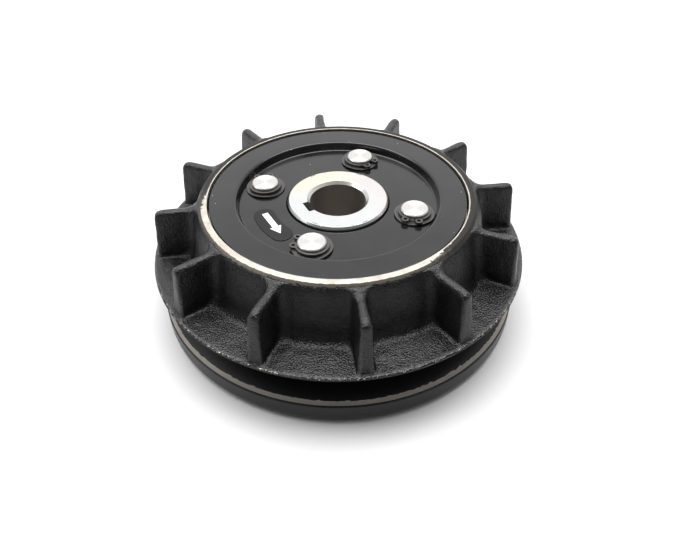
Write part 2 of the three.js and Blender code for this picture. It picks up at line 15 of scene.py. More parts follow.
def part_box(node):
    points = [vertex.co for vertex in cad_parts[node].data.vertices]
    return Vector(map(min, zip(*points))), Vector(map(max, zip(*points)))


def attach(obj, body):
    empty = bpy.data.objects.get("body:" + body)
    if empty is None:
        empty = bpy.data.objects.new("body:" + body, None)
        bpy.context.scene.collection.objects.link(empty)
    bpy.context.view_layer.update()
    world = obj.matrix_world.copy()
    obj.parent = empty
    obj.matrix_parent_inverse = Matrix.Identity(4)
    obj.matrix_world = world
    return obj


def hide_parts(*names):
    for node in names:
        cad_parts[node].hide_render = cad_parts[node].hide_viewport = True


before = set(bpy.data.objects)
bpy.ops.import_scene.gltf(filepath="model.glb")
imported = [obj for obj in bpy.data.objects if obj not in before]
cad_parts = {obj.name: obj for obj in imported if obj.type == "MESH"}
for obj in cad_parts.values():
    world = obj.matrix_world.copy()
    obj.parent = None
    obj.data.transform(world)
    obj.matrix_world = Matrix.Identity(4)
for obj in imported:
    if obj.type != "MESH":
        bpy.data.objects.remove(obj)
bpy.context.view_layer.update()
MM = 0.001


def low(node):
    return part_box(node)[0] / MM


def high(node):
    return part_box(node)[1] / MM


# ---- Sizes from the frame, millimetres ----
RIM_Z = high("drum").z
FLANGE_R = high("drum").x
BOSS_Z = low("drum").z
COVER_R = high("rear_cover").x
COVER_H = high("rear_cover").z
HUB_Z = low("hub").z
HUB_TOP_Z = high("hub").z
CARRIER_R = high("hub").x
PLATE_Z = low("cover_plate").z
PLATE_TOP_Z = high("cover_plate").z
PLATE_R = high("cover_plate").x
PIN_TOP_Z = high("pin_a").z
PIN_Z = low("pin_a").z
BEARING_Z = low("bearing_outer_ring").z
BEARING_TOP_Z = high("bearing_outer_ring").z
BEARING_R = high("bearing_outer_ring").x
CLIP_Z = low("pin_clip_a").z
WASHER_Z = low("wave_washer_a").z
WEIGHT_Z = low("weight_a").z
WEIGHT_TOP_Z = high("weight_a").z
HOUSING_RING_Z = low("housing_retaining_ring").z
SHAFT_RING_Z = low("shaft_retaining_ring").z
LABEL_Z = low("direction_label").z

# ---- Named sizes of the object, millimetres and degrees ----
GAP = 0.3
BORE_R = 12.5
HUB_R = 22.5
KEY_W = 7.0
KEY_BOTTOM_R = 15.8
PIN_R = 6.0
PIN_BODY_R = 7.0
PIN_NECK_R = 5.75
DRUM_R = 55.0
RIM_IN_R = 57.55
RIM_FLAT_R = 60.2
RIM_OUT_R = 61.4
SHOULDER_R = 63.0
WALL_FOOT_R = 66.6
GROOVE_R = 67.7
LAND_IN_R = 81.0
LAND_R = 82.3
LAND_Z = 11.2
GROOVE_LOW_Z = 12.7
GROOVE_W = 15.0
FLANK = math.tan(math.radians(19))
LIP_T = 1.6
COVER_SHEET = 2.5
COVER_RECESS = 4.0
COVER_CORNER_R = 5.0
COVER_FOOT_W = 13.8
COVER_OPEN_R = 37.9
SCREW_PITCH_R = 50.9
SCREW_COUNT = 6
SCREW_R = 3.0
SCREW_HEAD_R = 5.2
SCREW_HEAD_H = 3.2
DISH_R = 44.0
PLATE_SHEET = 2.0
JOURNAL_R = 19.8
BEARING_BORE_R = 20.0
HOUSING_R = 34.2
HOUSING_GROOVE_R = 35.7
BALL_R = 3.97
BALL_PITCH_R = 27.0
BALL_COUNT = 9
RACE_WALL = 4.5
BLADE_COUNT = 12
BLADE_START = 10.0
BLADE_TIP_R = 80.4
BLADE_FOOT_R = 82.8
BLADE_TOP_HALF = 2.2
BLADE_FOOT_HALF = 3.3
BLADE_ROOT_DROP = 1.9
BLADE_TIP_DROP = 1.8
SHOULDER_DROP = 2.2
SKIN_TOP_DROP = 0.95
SKIN_IN_R = 58.6
SKIN_VOXEL = 0.82
POCKET_IN_R = 42.8
POCKET_OUT_R = 59.0
SPIGOT_H = 2.7
RING_LAND = 2.0
HOUSING_GROOVE_TOP = 4.8
SHAFT_GROOVE_DEPTH = 1.1
SHAFT_GROOVE_W = 2.05
FLOOR_OVERLAP = 2.5
CARRIER_T = 4.5
PIN_PITCH_R = 34.9
PIVOT_HOLE_R = 7.2
WEIGHT_IN_R = 25.3
WEIGHT_STEP_R = 35.2
WEIGHT_OUT_R = 50.5
EYE_WALL = 2.4
LINING_IN_R = 50.8
LINING_OUT_R = 54.0
WASHER_IN_R = 6.2
WASHER_OUT_R = 8.8
WASHER_T = 0.5
WASHER_WAVE = 0.22
CLIP_T = 1.0
HOUSING_RING_T = 2.5
SHAFT_RING_T = 1.75
SEAL_T = 1.0
CAGE_T = 1.6
COIL_WIRE_R = 0.5
COIL_R = 2.65
COIL_TURNS = 15
COIL_LENGTH = 19.4
LABEL_ANGLE = 185.0
LABEL_MID_R = 33.7
LABEL_HALF_W = 4.8
LABEL_HALF_ARC = 13.0
LETTERS = "abcd"
# Direction in which each pin's retaining ring has its gap
CLIP_GAPS = {"a": 292.0, "b": 73.0, "c": 137.0, "d": 229.0}
# Direction of the rim side that faces the camera: the machined rim is painted bright bare metal there
# and dark away from it, a painted reflection and painted shade
LIT_RIM_SIDE = 222.0
# Small dark nicks by the hub's edge: direction, length
HUB_NICKS = ((215.0, 2.6), (276.0, 2.6), (259.5, 0.6))

# ---- Camera and light ----
CAMERA_AZIMUTH = -27.0
CAMERA_ELEVATION = 34.14
CAMERA_DISTANCE = 286.0
CAMERA_PITCH = 40.87
CAMERA_YAW = 0.17
CAMERA_ROLL = -0.43
SENSOR_W = 36.0
LENS = 33.919
GLOW_AZIMUTH = -27.0
GLOW_RISE = 48.0
GLOW_LOW = 0.16
GLOW_HIGH = 1.65
OVERHEAD_POWER = 24.0
LEFT_POWER = 3.5
FLOOR_REACH = 40.0

DISH_Z = PLATE_Z + PLATE_SHEET
GROOVE_MID_Z = GROOVE_LOW_Z + GROOVE_W / 2
GROOVE_FLOOR = GROOVE_W / 2 - (LAND_IN_R - GROOVE_R) * FLANK
LIP_Z = GROOVE_LOW_Z + GROOVE_W + (FLANGE_R - LAND_IN_R) * FLANK
FLANGE_Z = LIP_Z + LIP_T
BEARING_MID_Z = (BEARING_Z + BEARING_TOP_Z) / 2
FLOOR_Z = PIN_Z - 0.6
SHOULDER_Z = BEARING_TOP_Z + GAP
WALL_SLOPE = (WALL_FOOT_R - SHOULDER_R) / (RIM_Z - SHOULDER_DROP - FLANGE_Z)
BLADE_ROOT_Z = RIM_Z - BLADE_ROOT_DROP
BLADE_TIP_Z = RIM_Z - BLADE_TIP_DROP
SKIN_LOW_Z = LIP_Z + 0.2


# ---- Mesh helpers; every outline is in millimetres ----
def polar(r, degrees):
    return r * math.cos(math.radians(degrees)), r * math.sin(math.radians(degrees))


def arc(x, y, r, start, end, steps):
    """Points of an arc from start to end degrees, both included."""
    turns = [start + (end - start) * i / steps for i in range(steps + 1)]
    return [(x + polar(r, a)[0], y + polar(r, a)[1]) for a in turns]


def eased(corners, steps=4, hold=0.12):
    """A closed outline whose (x, y, radius) corners are rounded, with a point held close to each
    end of a rounding so that the flats beside it stay flat in smooth shading."""
    points = []
    count = len(corners)
    for i, (x, y, r) in enumerate(corners):
        here = Vector((x, y))
        back = Vector(corners[i - 1][:2]) - here
        ahead = Vector(corners[(i + 1) % count][:2]) - here
        angle = back.angle(ahead)
        reach = r / math.tan(angle / 2) if r > 0 else 0.0
        room = 0.45 * min(back.length, ahead.length)
        if reach > room:
            r *= room / reach
            reach = room
        if reach < 1e-4:
            points += [here + back.normalized() * min(hold, room), here]
            points += [here + ahead.normalized() * min(hold, room)]
            continue
        start = here + back.normalized() * reach
        end = here + ahead.normalized() * reach
        centre = here + (back.normalized() + ahead.normalized()).normalized() * (
            r / math.sin(angle / 2)
        )
        points.append(start + back.normalized() * min(hold, room - reach + 1e-4))
        for k in range(steps + 1):
            ray = (start - centre).lerp(end - centre, k / steps).normalized()
            points.append(centre + ray * r)
        points.append(end + ahead.normalized() * min(hold, room - reach + 1e-4))
    tidy = [p for i, p in enumerate(points) if (p - points[i - 1]).length > 1e-3]
    return [(p.x, p.y) for p in tidy]


def sharpen(mesh, limit=35.0):
    """Smooth shading, with the edges whose faces turn by more than limit degrees kept sharp."""
    shape = bmesh.new()
    shape.from_mesh(mesh)
    bmesh.ops.remove_doubles(shape, verts=shape.verts, dist=1e-7)
    bmesh.ops.recalc_face_normals(shape, faces=shape.faces)
    if shape.calc_volume(signed=True) < 0:
        bmesh.ops.reverse_faces(shape, faces=shape.faces)
    for face in shape.faces:
        face.smooth = True
    for edge in shape.edges:
        turn = edge.calc_face_angle(0.0)
        edge.smooth = turn < math.radians(limit)
    shape.to_mesh(mesh)
    shape.free()


def linked(name, data):
    """A new object in the scene that shows data."""
    item = bpy.data.objects.new(name, data)
    bpy.context.scene.collection.objects.link(item)
    return item


def worked_out(item):
    """A new mesh of the item as its modifiers or its curve settings make it."""
    bpy.context.view_layer.update()
    shown = item.evaluated_get(bpy.context.evaluated_depsgraph_get())
    return bpy.data.meshes.new_from_object(shown)


def mesh_object(name, points, faces, limit=35.0):
    mesh = bpy.data.meshes.new(name)
    mesh.from_pydata([Vector(p) * MM for p in points], [], faces)
    sharpen(mesh, limit)
    return linked(name, mesh)


def turned(name, outline, segments=192, limit=35.0):
    """A closed [r, z] outline turned about Z; points on the axis become poles."""
    rings, points = [], []
    for r, z in outline:
        if abs(r) < 1e-6:
            rings.append([len(points)] * segments)
            points.append((0, 0, z))
            continue
        rings.append([len(points) + k for k in range(segments)])
        points += [(*polar(r, 360 * k / segments), z) for k in range(segments)]
    faces = []
    for i, ring in enumerate(rings):
        above = rings[(i + 1) % len(rings)]
        for k in range(segments):
            n = (k + 1) % segments
            corners = [ring[k], ring[n], above[n], above[k]]
            face = [c for j, c in enumerate(corners) if c != corners[j - 1]]
            if len(face) > 2:
                faces.append(face)
    return mesh_object(name, points, faces, limit)


def slab(name, outline, z0, z1, holes=(), bevel=0.12, limit=35.0):
    """A flat outline with holes, raised from z0 to z1, with small rounded edges."""
    curve = bpy.data.curves.new(name, "CURVE")
    curve.dimensions = "2D"
    curve.fill_mode = "BOTH"
    curve.extrude = ((z1 - z0) / 2 - bevel) * MM
    curve.bevel_depth = bevel * MM
    curve.bevel_resolution = 2
    curve.offset = -bevel * MM
    for loop in (outline, *holes):
        spline = curve.splines.new("POLY")
        spline.points.add(len(loop) - 1)
        for point, (x, y) in zip(spline.points, loop):
            point.co = (x * MM, y * MM, 0, 1)
        spline.use_cyclic_u = True
    source = linked(name + "-curve", curve)
    mesh = worked_out(source)
    mesh.transform(Matrix.Translation((0, 0, (z0 + z1) / 2 * MM)))
    mesh.name = name
    bpy.data.objects.remove(source)
    sharpen(mesh, limit)
    return linked(name, mesh)


def carve(item, tools, limit=35.0):
    """Cuts the tools out of item, removes them, and keeps the result as item's own mesh."""
    for tool in tools:
        cut = item.modifiers.new("cut", "BOOLEAN")
        cut.operation = "DIFFERENCE"
        cut.solver = "EXACT"
        cut.object = tool
    mesh = worked_out(item)
    item.modifiers.clear()
    item.data = mesh
    for tool in tools:
        bpy.data.objects.remove(tool)
    sharpen(mesh, limit)
    return item


def rod_tool(r, z0, z1, x=0.0, y=0.0, segments=64):
    tool = turned("tool", [(0, z0), (r, z0), (r, z1), (0, z1)], segments)
    tool.location = (x * MM, y * MM, 0)
    return tool


def seat(item, body, surface, nodes=()):
    """Gives a finished piece its surface, its body and the nodes that it stands for."""
    surfaces = surface if isinstance(surface, (list, tuple)) else [surface]
    item.data.materials.clear()
    for one in surfaces:
        item.data.materials.append(one)
    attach(item, body)
    if nodes:
        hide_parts(*nodes)
    return item


def pin_place(letter):
    centre = (low("pin_" + letter) + high("pin_" + letter)) / 2
    return centre.x, centre.y


def set_on_pin(item, letter):
    x, y = pin_place(letter)
    item.location = (x * MM, y * MM, 0)


# ---- Material helpers ----
class Surface:
    """A node material: a Principled shader whose constants are set on its own sockets."""

    def __init__(self, name, color, roughness, metallic=0.0, **constants):
        self.material = bpy.data.materials.new(name)
        self.material.use_nodes = True
        self.nodes = self.material.node_tree.nodes
        self.links = self.material.node_tree.links
        self.shader = self.nodes["Principled BSDF"]
        self.shader.inputs["Base Color"].default_value = (*color, 1)
        self.shader.inputs["Roughness"].default_value = roughness
        self.shader.inputs["Metallic"].default_value = metallic
        for socket, value in constants.items():
            self.shader.inputs[socket.replace("_", " ")].default_value = value
        place = self.nodes.new("ShaderNodeTexCoord")
        self.normal = place.outputs["Normal"]
        self.mm = self.math("SCALE", place.outputs["Object"], 1 / MM, kind="vector")

    def plug(self, socket, value):
        if isinstance(value, bpy.types.NodeSocket):
            self.links.new(value, socket)
        elif value is not None:
            socket.default_value = value

    def math(self, operation, a, b=None, c=None, kind="value", clamp=False):
        if kind == "vector":
            node = self.nodes.new("ShaderNodeVectorMath")
            node.operation = operation
            self.plug(node.inputs[0], a)
            if operation == "SCALE":
                self.plug(node.inputs["Scale"], b)
            else:
                self.plug(node.inputs[1], b)
            return node.outputs["Value" if operation == "LENGTH" else "Vector"]
        node = self.nodes.new("ShaderNodeMath")
        node.operation = operation
        node.use_clamp = clamp
        for socket, value in zip(node.inputs, (a, b, c)):
            self.plug(socket, value)
        return node.outputs[0]

    def part(self, vector, axis):
        node = self.nodes.new("ShaderNodeSeparateXYZ")
        self.plug(node.inputs[0], vector)
        return node.outputs[axis]

    def join(self, x, y, z):
        node = self.nodes.new("ShaderNodeCombineXYZ")
        for socket, value in zip(node.inputs, (x, y, z)):
            self.plug(socket, value)
        return node.outputs[0]

    def radius(self):
        flat = self.math("MULTIPLY", self.mm, (1, 1, 0), kind="vector")
        return self.math("LENGTH", flat, kind="vector")

    def noise(self, scale, detail=2.0, roughness=0.5, vector=None, distortion=0.0):
        node = self.nodes.new("ShaderNodeTexNoise")
        self.plug(node.inputs["Vector"], vector or self.mm)
        node.inputs["Scale"].default_value = scale
        node.inputs["Detail"].default_value = detail
        node.inputs["Roughness"].default_value = roughness
        node.inputs["Distortion"].default_value = distortion
        return node.outputs["Fac"]

    def cells(self, scale, vector=None, smooth=0.4):
        node = self.nodes.new("ShaderNodeTexVoronoi")
        node.feature = "SMOOTH_F1"
        self.plug(node.inputs["Vector"], vector or self.mm)
        node.inputs["Scale"].default_value = scale
        node.inputs["Smoothness"].default_value = smooth
        return node.outputs["Distance"]

    def spread(self, value, low_in, high_in, low_out=0.0, high_out=1.0):
        node = self.nodes.new("ShaderNodeMapRange")
        for socket, number in zip(node.inputs, (value, low_in, high_in, low_out, high_out)):
            self.plug(socket, number)
        return node.outputs[0]

    def mix(self, fac, a, b):
        node = self.nodes.new("ShaderNodeMix")
        node.data_type = "RGBA"
        self.plug(node.inputs["Factor"], fac)
        for socket, value in ((node.inputs[6], a), (node.inputs[7], b)):
            self.plug(socket, (*value, 1) if isinstance(value, tuple) else value)
        return node.outputs[2]

    def bump(self, height, distance, strength=1.0, under=None):
        """A bump whose height of 1 stands for distance in millimetres."""
        node = self.nodes.new("ShaderNodeBump")
        node.inputs["Strength"].default_value = strength
        node.inputs["Distance"].default_value = distance * MM
        self.plug(node.inputs["Height"], height)
        self.plug(node.inputs["Normal"], under)
        self.links.new(node.outputs[0], self.shader.inputs["Normal"])
        return node.outputs[0]

    def set(self, socket, value):
        self.plug(self.shader.inputs[socket], value)


def turning_marks(surface, pitch, depth, under=None):
    """Fine concentric tool marks about the object's own Z axis."""
    along = surface.math("MULTIPLY", surface.radius(), 1 / pitch)
    height = surface.part(surface.mm, "Z")
    upright = surface.math("DIVIDE", height, pitch)
    marks = surface.noise(1.0, 2, 0.6, surface.join(along, upright, 0))
    surface.bump(marks, depth, 1.0, under)
    return marks


def cast_paint():
    """Black enamel over sand-cast grain, glossier where it settled on top and chipped at the edge;
    convex edges are painted lighter grey, partly as wear and partly as a painted highlight.
    """
    s = Surface("cast_paint", (0.004, 0.004, 0.0045), 0.3, Specular_IOR_Level=0.36)
    height = s.part(s.mm, "Z")
    radius = s.radius()
    warp = s.noise(0.3, 2, 0.5)
    grain = s.noise(1.35, 2, 0.5, distortion=0.2)
    pebble = s.cells(1.5, smooth=0.6)
    fine = s.noise(2.4, 2, 0.6)
    relief = s.math("ADD", s.math("MULTIPLY", grain, 0.9), s.math("MULTIPLY", pebble, 0.55))
    relief = s.math("ADD", relief, s.math("MULTIPLY", fine, 0.3))
    relief = s.math("ADD", relief, s.math("MULTIPLY", warp, 0.5))
    s.bump(relief, 0.33, 1.0)
    edge = s.nodes.new("ShaderNodeAttribute")
    edge.attribute_name = "edge"
    # Convex edges painted lighter grey in specks: partly edge wear, partly a painted highlight of the
    # glints along the edges and blade tops.
    wear_and_glint = s.math("MULTIPLY", s.spread(edge.outputs["Fac"], 0.3, 1.0), s.spread(fine, 0.45, 0.65))
    brim = s.spread(radius, FLANGE_R - 0.8, FLANGE_R - 0.3)
    brim = s.math("MULTIPLY", brim, s.math("LESS_THAN", height, FLANGE_Z + 0.6))
    chip = s.math("MULTIPLY", brim, s.spread(s.noise(0.7, 4, 0.75), 0.54, 0.6))
    base = s.mix(s.spread(grain, 0.3, 0.75), (0.002, 0.002, 0.0023), (0.004, 0.004, 0.0044))
    base = s.mix(wear_and_glint, base, (0.09, 0.088, 0.085))
    s.set("Base Color", s.mix(chip, base, (0.42, 0.40, 0.37)))
    s.set("Metallic", s.math("MULTIPLY", chip, 0.8))
    upward = s.spread(s.part(s.normal, "Z"), 0.25, 0.75)
    settled = s.spread(upward, 0.0, 1.0, 0.34, 0.175)
    s.set("Roughness", s.math("ADD", s.spread(grain, 0.3, 0.7, 0.0, 0.1), settled))
    return s.material


def drum_paint():
    """The turned parts of the drum: smooth black enamel, bare where it was machined afterwards. The
    rim's bare band is painted wide and bright on the camera side and dark on the far side: painted
    reflection and painted shade.
    """
    s = Surface("drum_turned", (0.006, 0.006, 0.007), 0.36, Specular_IOR_Level=0.22)
    radius = s.radius()
    height = s.part(s.mm, "Z")
    ragged = s.math("SUBTRACT", s.noise(0.5, 5, 0.72), 0.5)
    chips = s.math("SUBTRACT", s.noise(1.6, 3, 0.7), 0.5)
    wander = s.math("ADD", s.math("MULTIPLY", ragged, 2.2), s.math("MULTIPLY", chips, 0.9))
    on_rim = s.math("GREATER_THAN", height, RIM_Z - 1.4)
    on_rim = s.math("MULTIPLY", on_rim, s.math("GREATER_THAN", radius, RIM_IN_R - 0.15))
    # The rim side facing the camera is painted as bright bare metal; the far side is painted as dark
    # enamel with a narrower bare flat: painted reflection and painted shade.
    ax, ay = polar(1.0, LIT_RIM_SIDE)
    x_part = s.math("MULTIPLY", s.part(s.mm, "X"), ax)
    y_part = s.math("MULTIPLY", s.part(s.mm, "Y"), ay)
    turned_to = s.math("DIVIDE", s.math("ADD", x_part, y_part), radius)
    turned_to = s.math("ADD", turned_to, s.math("MULTIPLY", ragged, 0.8))
    rim_shade = s.spread(turned_to, 0.55, 0.35)
    flat_edge = s.math("ADD", radius, s.math("MULTIPLY", wander, 0.42))
    flat_edge = s.math("SUBTRACT", RIM_FLAT_R + 0.05, flat_edge)
    flat_edge = s.math("SUBTRACT", flat_edge, s.math("MULTIPLY", rim_shade, 2.2))
    flat = s.math("MULTIPLY", s.spread(flat_edge, -0.1, 0.1), on_rim)
    dull_edge = s.math("ADD", radius, s.math("MULTIPLY", wander, 1.5))
    dull_edge = s.math("SUBTRACT", RIM_OUT_R - 0.05, dull_edge)
    dull = s.math("MULTIPLY", s.spread(dull_edge, -0.03, 0.03), on_rim)
    land_top = s.math("ADD", height, s.math("MULTIPLY", wander, 0.4))
    land = s.spread(s.math("SUBTRACT", GROOVE_LOW_Z - 0.05, land_top), -0.03, 0.03)
    land = s.math("MULTIPLY", land, s.math("GREATER_THAN", radius, LAND_IN_R - 1))
    land = s.math("MULTIPLY", land, s.math("GREATER_THAN", height, LAND_Z + 0.2))
    inside = s.math("LESS_THAN", radius, RIM_IN_R - 0.3)
    bare = s.math("MAXIMUM", s.math("MAXIMUM", flat, land), inside)
    stain = s.noise(0.22, 4, 0.6)
    bright = s.mix(s.spread(stain, 0.35, 0.7), (0.50, 0.475, 0.425), (0.36, 0.335, 0.29))
    metal = s.mix(land, bright, (0.34, 0.32, 0.285))
    # The chamfer band is painted brownish on the camera side and near black on the far side: painted
    # shade.
    chamfer_tone_and_shade = s.mix(rim_shade, (0.075, 0.066, 0.055), (0.02, 0.018, 0.016))
    base = s.mix(dull, (0.006, 0.006, 0.007), chamfer_tone_and_shade)
    s.set("Base Color", s.mix(bare, base, metal))
    s.set("Metallic", s.math("MAXIMUM", bare, s.math("MULTIPLY", dull, 0.6)))
    satin = s.spread(s.noise(0.5, 3), 0.3, 0.7, 0.34, 0.44)
    s.set("Roughness", s.math("ADD", satin, s.math("MULTIPLY", dull, 0.04)))
    marks = turning_marks(s, 0.35, 0.01)
    step = s.math("MULTIPLY", s.math("MAXIMUM", bare, dull), -1.0)
    s.bump(s.math("ADD", step, s.math("MULTIPLY", marks, 0.2)), 0.06, 1.0)
    return s.material


def sheet_paint(name, gloss, shine, dust):
    """Smooth black enamel on pressed sheet steel, with faint orange peel and specks of dust."""
    s = Surface(name, (0.006, 0.006, 0.0065), gloss, Specular_IOR_Level=shine)
    peel = s.noise(0.8, 3, 0.5)
    cloud = s.noise(0.06, 3, 0.6)
    speck = s.cells(0.16, smooth=0.0)
    dot = s.math("LESS_THAN", speck, dust)
    base = s.mix(s.spread(cloud, 0.3, 0.7), (0.005, 0.005, 0.0055), (0.010, 0.010, 0.0105))
    s.set("Base Color", s.mix(dot, base, (0.3, 0.29, 0.28)))
    s.set("Roughness", s.spread(cloud, 0.3, 0.7, gloss - 0.04, gloss + 0.05))
    s.bump(peel, 0.012, 1.0)
    return s.material


def bright_steel(name, pitch):
    """Turned steel with a thin bright plating, faintly yellow and pink in places."""
    s = Surface(name, (0.54, 0.54, 0.54), 0.26, 1.0)
    x, y = s.part(s.mm, "X"), s.part(s.mm, "Y")
    cloud = s.math("SUBTRACT", s.noise(0.09, 2, 0.5), 0.5)
    yellow = s.math("ADD", s.math("DIVIDE", y, 24.0), cloud)
    pink = s.math("ADD", s.math("DIVIDE", x, 26.0), cloud)
    base = s.mix(s.spread(yellow, 0.1, 0.9, 0.0, 1.0), (0.53, 0.54, 0.54), (0.58, 0.565, 0.47))
    base = s.mix(s.spread(pink, 0.35, 0.9, 0.0, 0.8), base, (0.58, 0.50, 0.50))
    dent = s.spread(s.noise(0.4, 4, 0.7), 0.71, 0.75)
    bore = s.math("LESS_THAN", s.radius(), BORE_R + 0.05)
    base = s.mix(dent, base, (0.3, 0.29, 0.27))
    for angle, length in HUB_NICKS:
        cx, cy = polar(HUB_R - 1.15, angle)
        tx, ty = polar(1.0, angle + 90)
        dx, dy = s.math("SUBTRACT", x, cx), s.math("SUBTRACT", y, cy)
        along = s.math("ADD", s.math("MULTIPLY", dx, tx), s.math("MULTIPLY", dy, ty))
        across = s.math("SUBTRACT", s.radius(), HUB_R - 1.15)
        near = s.math("LESS_THAN", s.math("ABSOLUTE", along), length / 2)
        near = s.math("MULTIPLY", near, s.math("LESS_THAN", s.math("ABSOLUTE", across), 0.25))
        base = s.mix(near, base, (0.2, 0.2, 0.2))
    s.set("Base Color", s.mix(bore, base, (0.5, 0.46, 0.43)))
    rough = s.spread(s.noise(0.12, 2), 0.3, 0.7, 0.24, 0.3)
    s.set("Roughness", s.math("ADD", rough, s.math("MULTIPLY", bore, 0.12)))
    turning_marks(s, pitch, 0.0025)
    return s.material


def spring_wire():
    """Plain bright spring wire with fine drawing lines."""
    s = Surface("spring_wire", (0.6, 0.6, 0.6), 0.3, 1.0)
    s.set("Roughness", s.spread(s.noise(1.5, 3), 0.3, 0.7, 0.22, 0.36))
    s.bump(s.noise(5.0, 2), 0.004, 0.8)
    return s.material


def pin_steel():
    """Pin ends with concentric tool marks, which stretch the highlight across them."""
    s = Surface("pin_steel", (0.54, 0.53, 0.51), 0.3, 1.0, Anisotropic=0.8, Anisotropic_Rotation=0.25)
    round_axis = s.nodes.new("ShaderNodeTangent")
    round_axis.direction_type = "RADIAL"
    round_axis.axis = "Z"
    s.links.new(round_axis.outputs[0], s.shader.inputs["Tangent"])
    rings = s.noise(1.0, 1, 0.5, s.join(s.math("MULTIPLY", s.radius(), 2.4), 0.0, 0.0))
    tone = s.spread(rings, 0.35, 0.65)
    s.set("Base Color", s.mix(tone, (0.50, 0.49, 0.475), (0.57, 0.56, 0.545)))
    s.set("Roughness", s.spread(rings, 0.3, 0.7, 0.26, 0.36))
    turning_marks(s, 0.4, 0.006)
    return s.material


def spring_steel():
    """Phosphated spring steel: satin black-brown with a slight sheen."""
    s = Surface("spring_steel", (0.03, 0.028, 0.026), 0.36, 0.55)
    cloud = s.noise(0.8, 4, 0.6)
    s.set("Base Color", s.mix(cloud, (0.04, 0.038, 0.036), (0.08, 0.077, 0.072)))
    s.set("Roughness", s.spread(cloud, 0.3, 0.7, 0.28, 0.44))
    s.bump(s.noise(4.0, 2), 0.01, 0.7)
    return s.material


def bearing_steel():
    s = Surface("bearing_steel", (0.62, 0.63, 0.64), 0.12, 1.0)
    s.set("Roughness", s.spread(s.noise(0.9, 3), 0.3, 0.7, 0.08, 0.2))
    turning_marks(s, 0.1, 0.004)
    return s.material


def seal_rubber():
    s = Surface("seal_rubber", (0.012, 0.012, 0.012), 0.62)
    s.set("Roughness", s.spread(s.noise(0.9, 4), 0.3, 0.7, 0.52, 0.72))
    s.bump(s.noise(2.5, 3), 0.02, 0.8)
    return s.material


def cage_brass():
    s = Surface("cage_brass", (0.62, 0.43, 0.16), 0.32, 1.0)
    s.set("Base Color", s.mix(s.noise(0.3, 3), (0.66, 0.47, 0.19), (0.45, 0.3, 0.12)))
    s.bump(s.noise(1.8, 3), 0.01, 0.8)
    return s.material


def weight_iron():
    s = Surface("weight_iron", (0.12, 0.115, 0.108), 0.55, 0.7)
    grain = s.noise(0.9, 4, 0.6)
    s.set("Base Color", s.mix(grain, (0.08, 0.077, 0.072), (0.17, 0.16, 0.15)))
    s.bump(grain, 0.25, 0.8)
    return s.material


def lining_material():
    """Woven friction material: short brown fibres with fine brass wire."""
    s = Surface("friction_lining", (0.12, 0.075, 0.045), 0.85)
    fibre = s.noise(1.2, 4, 0.7, distortion=1.2)
    wire = s.spread(s.noise(2.6, 2, 0.5), 0.68, 0.72)
    base = s.mix(fibre, (0.07, 0.045, 0.03), (0.2, 0.13, 0.08))
    s.set("Base Color", s.mix(wire, base, (0.5, 0.36, 0.15)))
    s.bump(fibre, 0.2, 0.9)
    return s.material


def label_film():
    s = Surface("label_film", (0.006, 0.006, 0.0065), 0.45, Specular_IOR_Level=0.2)
    s.set("Roughness", s.spread(s.noise(0.7, 3), 0.3, 0.7, 0.4, 0.5))
    s.bump(s.noise(1.2, 2), 0.006, 0.8)
    return s.material


def arrow_ink():
    s = Surface("arrow_ink", (0.8, 0.8, 0.79), 0.45)
    wear = s.spread(s.noise(1.1, 4, 0.6), 0.55, 0.75)
    s.set("Base Color", s.mix(wear, (0.82, 0.82, 0.81), (0.68, 0.68, 0.66)))
    s.bump(s.noise(2.0, 2), 0.006, 0.8)
    return s.material


